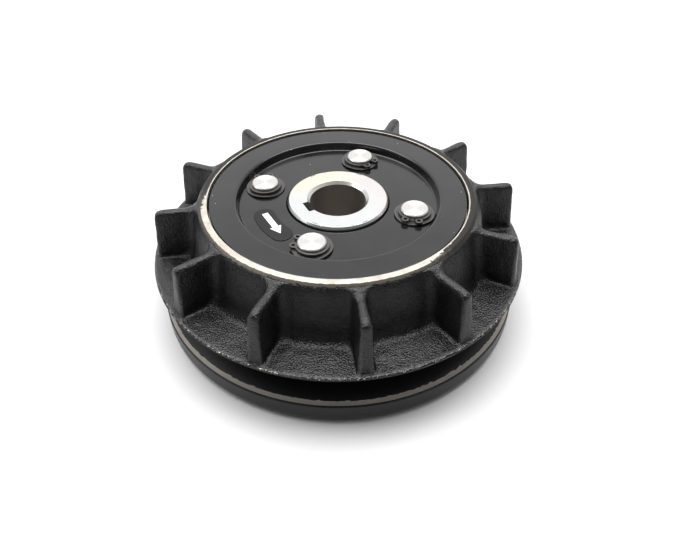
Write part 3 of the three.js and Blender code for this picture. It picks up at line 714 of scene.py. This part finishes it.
# ---- Drum ----
def drum_turning(surface):
    """Rim, inside, belt groove, land, spigot and bearing housing of the drum."""
    inset = RIM_OUT_R - 0.9
    spigot_r = COVER_R - COVER_SHEET - GAP
    groove_z, groove_top_z = BOSS_Z + RING_LAND, BOSS_Z + HOUSING_GROOVE_TOP
    outline = eased([
        (RIM_IN_R, RIM_Z, 0.12), (RIM_FLAT_R, RIM_Z, 0.2), (RIM_OUT_R, RIM_Z - 0.9, 0.1),
        (RIM_OUT_R - 0.05, RIM_Z - 1.5, 0), (inset, RIM_Z - SHOULDER_DROP, 0),
        (inset, LIP_Z + 0.4, 0), (FLANGE_R - 0.4, LIP_Z + 0.4, 0),
        (FLANGE_R - 0.05, LIP_Z + 0.3, 0), (FLANGE_R, LIP_Z, 0.12),
        (GROOVE_R, GROOVE_MID_Z + GROOVE_FLOOR, 0.8), (GROOVE_R, GROOVE_MID_Z - GROOVE_FLOOR, 0.8),
        (LAND_IN_R, GROOVE_LOW_Z, 0.15), (LAND_R, LAND_Z + 0.2, 0.08), (LAND_R, LAND_Z, 0),
        (spigot_r, LAND_Z, 0), (spigot_r, LAND_Z - SPIGOT_H, 0.3),
        (POCKET_OUT_R + 2, LAND_Z - SPIGOT_H, 0), (POCKET_OUT_R + 1, BOSS_Z, 0),
        (HOUSING_R + 0.8, BOSS_Z, 0.1), (HOUSING_R, BOSS_Z + 0.8, 0.1), (HOUSING_R, groove_z, 0),
        (HOUSING_GROOVE_R, groove_z, 0), (HOUSING_GROOVE_R, groove_top_z, 0),
        (HOUSING_R, groove_top_z, 0), (HOUSING_R, SHOULDER_Z, 0),
        (BEARING_R - FLOOR_OVERLAP, SHOULDER_Z, 0.2), (BEARING_R - FLOOR_OVERLAP, FLOOR_Z, 0.4),
        (DRUM_R, FLOOR_Z, 1.0), (DRUM_R, DISH_Z, 0.3), (RIM_IN_R, DISH_Z, 0.3),
    ])
    drum = turned("drum_turning", outline, 240)
    tools = []
    for k in range(SCREW_COUNT):
        angle = 360 * k / SCREW_COUNT
        x, y = polar(SCREW_PITCH_R, angle)
        tools.append(rod_tool(SCREW_R + 0.2, BOSS_Z - 1, BOSS_Z + 10, x, y, 24))
        half = 360 / SCREW_COUNT / 2 - math.degrees(6.5 / SCREW_PITCH_R)
        mid = angle + 180 / SCREW_COUNT
        shape = arc(0, 0, POCKET_OUT_R, mid - half, mid + half, 10)
        shape += arc(0, 0, POCKET_IN_R, mid + half, mid - half, 10)
        tools.append(slab("pocket", shape, BOSS_Z - 1, FLOOR_Z - 6, bevel=0.01))
    carve(drum, tools)
    return seat(drum, "drum", surface)


def blend_min(a, b, k):
    near = np.clip(1 - np.abs(a - b) / k, 0, None)
    return np.minimum(a, b) - near * near * k / 4


def blend_max(a, b, k):
    return -blend_min(-a, -b, k)


def skin_distance(p):
    """Distance in millimetres, near enough and negative inside, from points p to the cast skin: a
    tapered wall on a flange with blades, all blended by fillets."""
    r = np.hypot(p[:, 0], p[:, 1])
    z = p[:, 2]
    step = 2 * math.pi / BLADE_COUNT
    turn = np.arctan2(p[:, 1], p[:, 0]) - math.radians(BLADE_START)
    turn = (turn + step / 2) % step - step / 2
    u = r * np.cos(turn)
    v = np.abs(r * np.sin(turn))
    drop = RIM_Z - SHOULDER_DROP - z
    wall = (r - SHOULDER_R - drop * WALL_SLOPE) / math.hypot(1, WALL_SLOPE)
    shoulder = (r - RIM_OUT_R) * 0.8 + (z - (RIM_Z - 1.0)) * 0.6
    wall = blend_max(wall, shoulder, 1.6)
    flange = z - (FLANGE_Z - (r - 70) * 0.02)
    rise = (z - FLANGE_Z) / (BLADE_ROOT_Z - FLANGE_Z)
    half = BLADE_FOOT_HALF + (BLADE_TOP_HALF - BLADE_FOOT_HALF) * rise
    side = v - half
    front = u - (BLADE_FOOT_R + (BLADE_TIP_R - BLADE_FOOT_R) * rise)
    fall = (BLADE_ROOT_Z - BLADE_TIP_Z) / (BLADE_TIP_R - SHOULDER_R)
    top = z - BLADE_ROOT_Z + (u - SHOULDER_R) * fall
    blade = blend_max(blend_max(side, top, 3.2), blend_max(front, top, 3.6), 1.5)
    upright = blend_min(wall, blade, 4.5)
    near_wall = np.clip((73 - r) / 6, 0, 1)
    body = blend_min(upright, flange, 1.6 + 3.4 * near_wall)
    body = blend_max(body, r - (FLANGE_R - 0.03), 0.9)
    return np.maximum.reduce([body, SKIN_LOW_Z - z, SKIN_IN_R - r, z - (RIM_Z - SKIN_TOP_DROP)])


def skin_gradient(p, h=0.02):
    steps = np.eye(3) * h
    parts = [skin_distance(p + s) - skin_distance(p - s) for s in steps]
    return np.stack(parts, 1) / (2 * h)


def relax(points, edges, amount):
    """Moves each point part of the way to the middle of its neighbours."""
    total = np.zeros_like(points)
    count = np.zeros(len(points))
    for a, b in ((0, 1), (1, 0)):
        np.add.at(total, edges[:, a], points[edges[:, b]])
        np.add.at(count, edges[:, a], 1)
    return points + (total / count[:, None] - points) * amount


def fit_to_skin(points, rounds=3):
    for _ in range(rounds):
        slope = skin_gradient(points)
        size = np.maximum((slope * slope).sum(1), 0.2)
        points = points - slope * (skin_distance(points) / size)[:, None]
    return points


def rough_skin():
    """The cast outside of the drum as plain solids, remeshed into one even skin."""
    ring = turned("skin", [
        (SKIN_IN_R, SKIN_LOW_Z), (FLANGE_R - 0.1, SKIN_LOW_Z), (FLANGE_R - 0.1, FLANGE_Z - 0.3),
        (WALL_FOOT_R + 1, FLANGE_Z), (SHOULDER_R, RIM_Z - SHOULDER_DROP),
        (RIM_OUT_R, RIM_Z - SKIN_TOP_DROP), (SKIN_IN_R, RIM_Z - SKIN_TOP_DROP),
    ], 180)
    shape = bmesh.new()
    shape.from_mesh(ring.data)
    root_r = 60.0
    sink = 0.8
    height = BLADE_TIP_Z + 0.4 - FLANGE_Z + sink
    size = Vector((BLADE_TIP_R + 1 - root_r, 2 * BLADE_TOP_HALF + 0.8, height))
    middle = Vector((root_r + size.x / 2, 0, FLANGE_Z - sink + size.z / 2))
    for k in range(BLADE_COUNT):
        place = Matrix.Rotation(math.radians(BLADE_START + 360 * k / BLADE_COUNT), 4, "Z")
        place = place @ Matrix.Translation(middle * MM) @ Matrix.Diagonal((*(size * MM), 1))
        bmesh.ops.create_cube(shape, size=1, matrix=place)
    shape.to_mesh(ring.data)
    shape.free()
    remesh = ring.modifiers.new("remesh", "REMESH")
    remesh.mode = "VOXEL"
    remesh.voxel_size = SKIN_VOXEL * MM
    mesh = worked_out(ring)
    ring.modifiers.clear()
    ring.data = mesh
    return ring


def cast_skin(surface):
    """The rough skin fitted to the blended shape, gently uneven, with its convex edges marked; the
    paint shows them lighter, partly as wear and partly as a painted highlight.
    """
    ring = rough_skin()
    mesh = ring.data
    count = len(mesh.vertices)
    points = np.empty(count * 3, np.float32)
    mesh.vertices.foreach_get("co", points)
    points = points.reshape(-1, 3).astype(float) / MM
    edges = np.empty(len(mesh.edges) * 2, np.int32)
    mesh.edges.foreach_get("vertices", edges)
    edges = edges.reshape(-1, 2)
    points = fit_to_skin(points)
    for _ in range(4):
        points = fit_to_skin(relax(points, edges, 0.5), 2)
    normal = skin_gradient(points)
    normal /= np.maximum(np.linalg.norm(normal, axis=1), 1e-6)[:, None]
    curl = ((points - relax(points, edges, 1.0)) * normal).sum(1)
    for _ in range(2):
        curl = relax(curl[:, None], edges, 0.5)[:, 0]
    edge = np.clip(curl / 0.11, 0, 1)
    swell = np.array([noise.fractal(Vector(q) * 0.16, 1.0, 2.0, 3) for q in points])
    spread = np.hypot(points[:, 0], points[:, 1])
    free = np.clip((RIM_Z - 1.6 - points[:, 2]) / 1.5, 0, 1)
    free = free * np.clip((FLANGE_R - 0.6 - spread) / 1.5, 0, 1)
    points = points + normal * (swell * 0.22 * free)[:, None]
    mesh.vertices.foreach_set("co", (points * MM).astype(np.float32).ravel())
    mark = mesh.attributes.new("edge", "FLOAT", "POINT")
    mark.data.foreach_set("value", edge.astype(np.float32))
    sharpen(mesh, 60)
    ring.name = mesh.name = "drum_casting"
    return seat(ring, "drum", surface, ["drum"])


# ---- Rear cover and its screws ----
def rear_cover(surface):
    foot_r = COVER_R - COVER_CORNER_R
    foot_in = foot_r - COVER_FOOT_W
    inner = COVER_R - COVER_SHEET
    recess_top = COVER_RECESS + COVER_SHEET
    outline = eased([
        (COVER_OPEN_R, COVER_RECESS, 0.5), (foot_in - 3, COVER_RECESS, 1.6), (foot_in, 0, 1.6),
        (COVER_R, 0, COVER_CORNER_R), (COVER_R, COVER_H, 0.5), (inner, COVER_H, 0.3),
        (inner, COVER_SHEET, COVER_CORNER_R - COVER_SHEET), (foot_in + 1.2, COVER_SHEET, 1.2),
        (foot_in - 1.8, recess_top, 1.2), (COVER_OPEN_R, recess_top, 0.3),
    ], steps=8)
    cover = turned("rear_cover_sheet", outline, 240)
    holes = [
        rod_tool(SCREW_R + 0.2, 0, BOSS_Z, *polar(SCREW_PITCH_R, 360 * k / SCREW_COUNT), 32)
        for k in range(SCREW_COUNT)
    ]
    carve(cover, holes)
    return seat(cover, "drum", surface, ["rear_cover"])


def cover_screws(surface):
    """Button-head screws with hexagon sockets, heads down."""
    top = COVER_RECESS - GAP
    under = top - SCREW_HEAD_H
    outline = [(0, under)] + arc(0, top, SCREW_HEAD_R, -90 + 26, -4, 12)
    scale = SCREW_HEAD_H / SCREW_HEAD_R
    outline = [(r, top + (z - top) * scale if z < top else z) for r, z in outline]
    outline += [(SCREW_HEAD_R - 0.1, top), (SCREW_R - 0.1, top), (SCREW_R - 0.1, BOSS_Z + 8.6)]
    outline += [(SCREW_R - 0.5, BOSS_Z + 9), (0, BOSS_Z + 9)]
    for k in range(SCREW_COUNT):
        screw = turned(f"screw_{k + 1}", outline, 48, 30)
        socket = turned("socket", [(0, under - 1), (2.3, under - 1), (2.3, top - 1), (0, top - 0.4)], 6)
        carve(screw, [socket], 30)
        screw.location = (*(c * MM for c in polar(SCREW_PITCH_R, 360 * k / SCREW_COUNT)), 0)
        seat(screw, "drum", surface, [f"cover_screw_{k + 1}"])


# ---- Hub and cover plate ----
def hub(surface):
    groove = SHAFT_RING_Z - 0.15
    groove_top = groove + SHAFT_GROOVE_W
    groove_r = JOURNAL_R - SHAFT_GROOVE_DEPTH
    carrier_top = PIN_Z + CARRIER_T
    outline = eased([
        (BORE_R + 0.8, HUB_Z, 0.1), (JOURNAL_R - 0.8, HUB_Z, 0.1), (JOURNAL_R, HUB_Z + 0.8, 0.1),
        (JOURNAL_R, groove, 0), (groove_r, groove, 0), (groove_r, groove_top, 0),
        (JOURNAL_R, groove_top, 0), (JOURNAL_R, SHOULDER_Z, 0.2),
        (BEARING_BORE_R + 4, SHOULDER_Z, 0.2), (BEARING_BORE_R + 4, PIN_Z, 0.6),
        (CARRIER_R, PIN_Z, 0.5), (CARRIER_R, carrier_top, 0.5),
        (HUB_R, carrier_top, 1.0), (HUB_R, HUB_TOP_Z - 0.9, 0.12), (HUB_R - 0.75, HUB_TOP_Z, 0.12),
        (BORE_R + 1.3, HUB_TOP_Z, 0.12), (BORE_R, HUB_TOP_Z - 1.3, 0.12), (BORE_R, HUB_Z + 0.8, 0.1),
    ])
    item = turned("hub_turning", outline, 192)
    key = slab("keyway", [
        (-KEY_BOTTOM_R, -KEY_W / 2), (0, -KEY_W / 2), (0, KEY_W / 2), (-KEY_BOTTOM_R, KEY_W / 2),
    ], HUB_Z - 1, HUB_TOP_Z + 1, bevel=0.001)
    pivots = [rod_tool(PIVOT_HOLE_R, PIN_Z - 1, carrier_top + 1, *pin_place(n)) for n in LETTERS]
    carve(item, [key, *pivots])
    return seat(item, "hub", surface, ["hub"])


def cover_plate(surface):
    top = PLATE_TOP_Z
    opening = HUB_R + 0.5
    under = top - PLATE_SHEET
    outline = eased([
        (opening, PLATE_Z, 0.2), (DISH_R + 1.4, PLATE_Z, 1.6), (DISH_R + 3.2, under, 1.0),
        (PLATE_R, under, 0.2), (PLATE_R, top, 0.35), (DISH_R + 1.2, top, 1.3),
        (DISH_R - 0.1, DISH_Z, 0.9), (opening, DISH_Z, 0.4),
    ], steps=8)
    plate = turned("cover_plate_sheet", outline, 240)
    carve(plate, [rod_tool(PIN_R + 0.2, PLATE_Z - 1, DISH_Z + 1, *pin_place(n)) for n in LETTERS])
    return seat(plate, "hub", surface, ["cover_plate"])


# ---- Pins with their washers and rings ----
def pin(letter, surface):
    neck_low = CLIP_Z - 0.15
    neck_high = CLIP_Z + CLIP_T + 0.15
    step = PLATE_Z - GAP
    outline = eased([
        (0, PIN_Z, 0), (PIN_BODY_R, PIN_Z, 0.3), (PIN_BODY_R, step, 0.2), (PIN_R, step, 0),
        (PIN_R, neck_low, 0.05), (PIN_NECK_R, neck_low, 0), (PIN_NECK_R, neck_high, 0),
        (PIN_R, neck_high, 0.05), (PIN_R, PIN_TOP_Z - 0.5, 0.15), (PIN_R - 0.45, PIN_TOP_Z, 0.15),
        (0, PIN_TOP_Z, 0),
    ], hold=0.08)
    outline = [(max(r, 0), z) for r, z in outline]
    item = turned("pivot_pin_" + letter, outline, 96)
    set_on_pin(item, letter)
    return seat(item, "hub", surface, ["pin_" + letter])


def wave_washer(letter, surface):
    ring = eased([
        (WASHER_IN_R, 0, 0.1), (WASHER_OUT_R, 0, 0.12),
        (WASHER_OUT_R, WASHER_T, 0.12), (WASHER_IN_R, WASHER_T, 0.1),
    ], 3, 0.05)
    item = turned("spring_washer_" + letter, ring, 96)
    for vertex in item.data.vertices:
        angle = math.atan2(vertex.co.y, vertex.co.x)
        vertex.co.z += (WASHER_Z + WASHER_WAVE * (1 + math.cos(3 * angle))) * MM
    set_on_pin(item, letter)
    item.rotation_euler.z = math.radians(CLIP_GAPS[letter] + 40)
    return seat(item, "hub", surface, ["wave_washer_" + letter])


def open_ring(name, radii, back, half_gap, lug, z0, thickness, bevel=0.1):
    """A retaining ring with its (inner, outer) radii. Its band is wider by back opposite the gap,
    and a pair of lugs ends it, each with its (radius, pitch radius, hole radius)."""
    in_r, out_r = radii
    lug_r, lug_pitch, hole_r = lug
    lug_angle = half_gap + math.degrees(lug_r / lug_pitch)
    lug_x, lug_y = polar(lug_pitch, lug_angle)
    outward = lug_pitch + lug_r > out_r
    start = lug_angle + math.degrees(lug_r / lug_pitch) * (1.25 if outward else 1.3)
    steps = 48
    turns = [start + (360 - 2 * start) * i / steps for i in range(steps + 1)]
    swell = [back * 0.5 * (1 - math.cos(math.radians(a))) for a in turns]
    if outward:
        rim = [polar(out_r + s, a) for a, s in zip(turns, swell)]
        eye = arc(lug_x, lug_y, lug_r, -80 + lug_angle, 90 + lug_angle, 8)
        upper = arc(0, 0, in_r, lug_angle, half_gap, 2) + eye
        lower = [(x, -y) for x, y in reversed(upper)]
        inner = arc(0, 0, in_r, 360 - lug_angle, lug_angle, 60)
        outline = upper + rim + lower + inner[1:-1]
    else:
        rim = [polar(in_r - s, a) for a, s in zip(turns, swell)]
        eye = arc(lug_x, lug_y, lug_r, -90 + lug_angle, -260 + lug_angle, 8)
        upper = arc(0, 0, out_r, lug_angle, half_gap, 2) + eye
        lower = [(x, -y) for x, y in reversed(upper)]
        outer = arc(0, 0, out_r, 360 - lug_angle, lug_angle, 90)
        outline = upper + rim + lower + outer[1:-1]
    holes = [arc(lug_x, side * lug_y, hole_r, 0, 345, 23) for side in (1, -1)]
    return slab(name, outline, z0, z0 + thickness, holes, bevel)


def large_rings(surface):
    """The retaining rings that hold the bearing: one in the housing and one on the journal."""
    inside = open_ring(
        "ring_housing", (31.3, 35.5), 0.8, 8, (2.2, 31.8, 1.2), HOUSING_RING_Z, HOUSING_RING_T, 0.15
    )
    seat(inside, "drum", surface, ["housing_retaining_ring"])
    outside = open_ring(
        "ring_shaft", (18.9, 22.2), 0.8, 8, (2.0, 21.0, 1.0), SHAFT_RING_Z, SHAFT_RING_T, 0.15
    )
    seat(outside, "hub", surface, ["shaft_retaining_ring"])


def pin_ring(letter, surface):
    name = "retaining_ring_" + letter
    item = open_ring(name, (5.95, 7.1), 0.35, 10, (1.65, 7.6, 0.78), CLIP_Z, CLIP_T)
    set_on_pin(item, letter)
    item.rotation_euler.z = math.radians(CLIP_GAPS[letter])
    return seat(item, "hub", surface, ["pin_clip_" + letter])


# ---- Direction label ----
def direction_label(film, ink):
    mid_r, half_w, half = LABEL_MID_R, LABEL_HALF_W, LABEL_HALF_ARC
    shape = arc(0, 0, mid_r + half_w, -half, half, 20)
    shape += arc(*polar(mid_r, half), half_w, half, half + 180, 20)[1:-1]
    shape += arc(0, 0, mid_r - half_w, half, -half, 16)
    shape += arc(*polar(mid_r, -half), half_w, 180 - half, 360 - half, 20)[1:-1]
    label = slab("label_film", shape, LABEL_Z, LABEL_Z + 0.15, bevel=0.03)
    label.rotation_euler.z = math.radians(LABEL_ANGLE)
    seat(label, "hub", film, ["direction_label"])
    mid, tail, neck, tip = mid_r - 1.1, -7.1, 3.9, 9.0
    shaft_w, head_w = 1.3, 2.6
    half_outline = [(shaft_w, tail), (shaft_w, neck), (head_w, neck), (0, tip)]
    outline = [(mid + x, y) for x, y in half_outline]
    outline += [(mid - x, y) for x, y in half_outline[2::-1]]
    arrow = slab("label_arrow", outline, LABEL_Z + 0.15, LABEL_Z + 0.2, bevel=0.01)
    arrow.rotation_euler.z = math.radians(LABEL_ANGLE - 3)
    seat(arrow, "hub", ink)


# ---- Ball bearing and its rings ----
def race(name, bore, shoulder, body, surface, node):
    side = 1 if shoulder > BALL_PITCH_R else -1
    groove_r = BALL_R + GAP
    half = math.degrees(math.acos(abs(shoulder - BALL_PITCH_R) / groove_r))
    groove = arc(0, 0, groove_r, -half, half, 14)
    edge = 0.5 if shoulder > bore else -0.5
    outline = [(bore, BEARING_Z + 0.5), (bore + edge, BEARING_Z), (shoulder, BEARING_Z)]
    outline += [(BALL_PITCH_R + side * x, BEARING_MID_Z + y) for x, y in groove]
    outline += [(shoulder, BEARING_TOP_Z), (bore + edge, BEARING_TOP_Z)]
    outline += [(bore, BEARING_TOP_Z - 0.5)]
    return seat(turned(name, outline, 144, 25), body, surface, [node])


def seal(name, z, surface, node):
    inner, outer = BEARING_BORE_R + RACE_WALL + GAP, BEARING_R - RACE_WALL - GAP
    top, dip = z + SEAL_T, 0.2
    outline = eased([
        (inner, z, 0.2), (inner + 1.2, z, 0.1), (inner + 1.5, z + dip, 0.1),
        (outer - 1.0, z + dip, 0.1), (outer - 0.7, z, 0.1), (outer, z, 0.2),
        (outer, top, 0.2), (outer - 0.7, top, 0.1), (outer - 1.0, top - dip, 0.1),
        (inner + 1.5, top - dip, 0.1), (inner + 1.2, top, 0.1), (inner, top, 0.2),
    ], 3, 0.05)
    return seat(turned(name, outline, 144), "drum", surface, [node])


def bearing_balls(surface):
    for k in range(BALL_COUNT):
        name = f"ball_{k + 1}"
        shape = bmesh.new()
        bmesh.ops.create_icosphere(shape, subdivisions=4, radius=BALL_R * MM)
        mesh = bpy.data.meshes.new("bearing_" + name)
        shape.to_mesh(mesh)
        shape.free()
        mesh.polygons.foreach_set("use_smooth", [True] * len(mesh.polygons))
        item = linked("bearing_" + name, mesh)
        x, y = polar(BALL_PITCH_R, 360 * k / BALL_COUNT)
        item.location = (x * MM, y * MM, BEARING_MID_Z * MM)
        seat(item, "ball_set", surface, [name])


def bearing_cage(surface):
    half = BALL_R + 1.3
    in_r, out_r = BALL_PITCH_R - CAGE_T / 2, BALL_PITCH_R + CAGE_T / 2
    band = [
        (in_r, BEARING_MID_Z - half), (out_r, BEARING_MID_Z - half),
        (out_r, BEARING_MID_Z + half), (in_r, BEARING_MID_Z + half),
    ]
    cage = turned("bearing_cage", eased([(*p, 0.15) for p in band], 3, 0.05), 144)
    tools = []
    for k in range(BALL_COUNT):
        tool = turned("window", [(0, -3), (BALL_R + 0.4, -3), (BALL_R + 0.4, 3), (0, 3)], 48)
        angle = 360 * k / BALL_COUNT
        x, y = polar(BALL_PITCH_R, angle)
        tool.matrix_world = (
            Matrix.Translation((x * MM, y * MM, BEARING_MID_Z * MM))
            @ Matrix.Rotation(math.radians(angle), 4, "Z") @ Matrix.Rotation(math.pi / 2, 4, "Y")
        )
        tools.append(tool)
    carve(cage, tools)
    seat(cage, "ball_set", surface, ["ball_cage"])


# ---- Shoes and return springs ----
def shoe_ends():
    """Angles from a shoe's pivot back to its rear end and on to its front end."""
    rear = math.degrees(math.asin((PIVOT_HOLE_R + EYE_WALL) / PIN_PITCH_R))
    return rear, 90 - rear - 2


def shoes(iron, lining):
    rear, front = shoe_ends()
    step = 22
    inset = 2
    for letter in LETTERS:
        x, y = pin_place(letter)
        angle = math.degrees(math.atan2(y, x))
        outline = arc(0, 0, WEIGHT_OUT_R, -rear, front, 48)
        outline += arc(0, 0, WEIGHT_STEP_R, front, step, 24)
        outline += arc(0, 0, WEIGHT_IN_R, step - 4, -rear, 18)
        pivot = arc(PIN_PITCH_R, 0, PIVOT_HOLE_R, 0, 354, 59)
        body = slab("shoe_weight_" + letter, outline, WEIGHT_Z, WEIGHT_TOP_Z, [pivot], 0.4)
        body.rotation_euler.z = math.radians(angle)
        seat(body, "shoe_" + letter, iron, ["weight_" + letter])
        pad = arc(0, 0, LINING_OUT_R, inset - rear, front - inset, 48)
        pad += arc(0, 0, LINING_IN_R, front - inset, inset - rear, 48)
        strip = slab("shoe_lining_" + letter, pad, WEIGHT_Z + GAP, WEIGHT_TOP_Z - GAP, bevel=0.15)
        strip.rotation_euler.z = math.radians(angle)
        seat(strip, "shoe_" + letter, lining, ["lining_" + letter])


def return_springs(surface):
    """Real helices in the place of the plain cylinders."""
    steps = 20
    for letter in LETTERS:
        node = "return_spring_" + letter
        middle = (low(node) + high(node)) / 2
        angle = math.degrees(math.atan2(middle.y, middle.x)) + 90
        curve = bpy.data.curves.new("coil_spring_" + letter, "CURVE")
        curve.dimensions = "3D"
        curve.bevel_depth = COIL_WIRE_R * MM
        curve.bevel_resolution = 2
        curve.use_fill_caps = True
        spline = curve.splines.new("POLY")
        count = COIL_TURNS * steps + 1
        spline.points.add(count - 1)
        for i, point in enumerate(spline.points):
            along = COIL_LENGTH * (i / (count - 1) - 0.5)
            cy, cz = polar(COIL_R, 360 * i / steps)
            point.co = (along * MM, cy * MM, cz * MM, 1)
        source = linked("coil", curve)
        mesh = worked_out(source)
        bpy.data.objects.remove(source)
        sharpen(mesh)
        item = linked("coil_spring_" + letter, mesh)
        item.location = middle * MM
        item.rotation_euler.z = math.radians(angle)
        seat(item, "hub", surface, ["return_spring_" + letter])


# ---- Camera, floor and lights ----
def camera():
    """Stands over the keyway side of the front, and looks a little below the rim's centre."""
    a, e = math.radians(CAMERA_AZIMUTH), math.radians(CAMERA_ELEVATION)
    toward = Vector((math.sin(a) * math.cos(e), -math.cos(a) * math.cos(e), math.sin(e)))
    place = Vector((0, 0, RIM_Z)) + toward * CAMERA_DISTANCE
    turn, dip = math.radians(CAMERA_AZIMUTH - CAMERA_YAW), math.radians(CAMERA_PITCH)
    level = Vector((-math.sin(turn), math.cos(turn), 0))
    ahead = level * math.cos(dip) - Vector((0, 0, math.sin(dip)))
    right = ahead.cross(Vector((0, 0, 1))).normalized()
    upward = right.cross(ahead)
    tilt = math.radians(CAMERA_ROLL)
    side = right * math.cos(tilt) + upward * math.sin(tilt)
    top = -right * math.sin(tilt) + upward * math.cos(tilt)
    lens = bpy.data.cameras.new("camera")
    lens.sensor_width = SENSOR_W
    lens.sensor_fit = "HORIZONTAL"
    lens.lens = LENS
    lens.clip_start = 0.01
    item = linked("camera", lens)
    frame_axes = Matrix((side, top, -ahead)).transposed().to_4x4()
    item.matrix_world = Matrix.Translation(place * MM) @ frame_axes
    bpy.context.scene.camera = item


def soft_light(name, place, target, size, power, color=(1, 1, 1)):
    lamp = bpy.data.lights.new(name, "AREA")
    lamp.shape = "RECTANGLE"
    lamp.size, lamp.size_y = size
    lamp.energy = power
    lamp.color = color
    item = linked(name, lamp)
    item.location = place
    item.rotation_euler = (Vector(place) - Vector(target)).to_track_quat("Z", "Y").to_euler()


def studio():
    """A pale table under a broad glow that stands above and behind the object."""
    world = bpy.data.worlds.new("studio")
    world.use_nodes = True
    nodes, links = world.node_tree.nodes, world.node_tree.links
    place = nodes.new("ShaderNodeTexCoord")
    facing = nodes.new("ShaderNodeVectorMath")
    facing.operation = "DOT_PRODUCT"
    turn, rise = math.radians(GLOW_AZIMUTH), math.radians(GLOW_RISE)
    back = Vector((-math.sin(turn), math.cos(turn), 0))
    facing.inputs[1].default_value = back * math.cos(rise) + Vector((0, 0, math.sin(rise)))
    ramp = nodes.new("ShaderNodeMapRange")
    ramp.interpolation_type = "SMOOTHSTEP"
    for socket, number in zip(ramp.inputs[1:5], (0.0, 0.95, GLOW_LOW, GLOW_HIGH)):
        socket.default_value = number
    links.new(place.outputs["Generated"], facing.inputs[0])
    links.new(facing.outputs["Value"], ramp.inputs["Value"])
    links.new(ramp.outputs[0], nodes["Background"].inputs["Strength"])
    nodes["Background"].inputs["Color"].default_value = (1, 1, 1, 1)
    bpy.context.scene.world = world
    bpy.context.scene.view_settings.view_transform = "Standard"
    mesh = bpy.data.meshes.new("floor")
    corners = [(-1, -1), (1, -1), (1, 1), (-1, 1)]
    mesh.from_pydata([(x * FLOOR_REACH, y * FLOOR_REACH, 0) for x, y in corners], [], [(0, 1, 2, 3)])
    floor = linked("floor", mesh)
    paper = Surface("pale_floor", (0.62, 0.62, 0.62), 0.6, Specular_IOR_Level=0.2)
    paper.set("Roughness", paper.spread(paper.noise(0.02, 3), 0.3, 0.7, 0.55, 0.65))
    mesh.materials.append(paper.material)
    left = Vector((-math.cos(turn), -math.sin(turn), 0))
    above = back * 0.2 + Vector((0, 0, 1.25))
    soft_light("overhead", above, (0, 0, 0), (1.5, 0.8), OVERHEAD_POWER)
    soft_light("left", left * 0.9 + Vector((0, 0, 0.8)), (0, 0, 0.03), (0.5, 0.5), LEFT_POWER)


# ---- The whole ----
camera()
studio()
steel_dark = spring_steel()
steel_bearing = bearing_steel()
rubber = seal_rubber()
drum_turning(drum_paint())
cast_skin(cast_paint())
rear_cover(sheet_paint("cover_enamel", 0.34, 0.26, 0.0))
cover_screws(steel_dark)
hub(bright_steel("hub_plating", 0.6))
cover_plate(sheet_paint("plate_enamel", 0.16, 0.4, 0.036))
pin_finish = pin_steel()
for letter in LETTERS:
    pin(letter, pin_finish)
    wave_washer(letter, steel_dark)
    pin_ring(letter, steel_dark)
direction_label(label_film(), arrow_ink())
inner_shoulder = BEARING_BORE_R + RACE_WALL
outer_shoulder = BEARING_R - RACE_WALL
race("race_inner", BEARING_BORE_R, inner_shoulder, "hub", steel_bearing, "bearing_inner_ring")
race("race_outer", BEARING_R, outer_shoulder, "drum", steel_bearing, "bearing_outer_ring")
seal("seal_rear", low("bearing_seal_rear").z, rubber, "bearing_seal_rear")
seal("seal_front", low("bearing_seal_front").z, rubber, "bearing_seal_front")
bearing_balls(steel_bearing)
bearing_cage(cage_brass())
large_rings(steel_dark)
shoes(weight_iron(), lining_material())
return_springs(spring_wire())
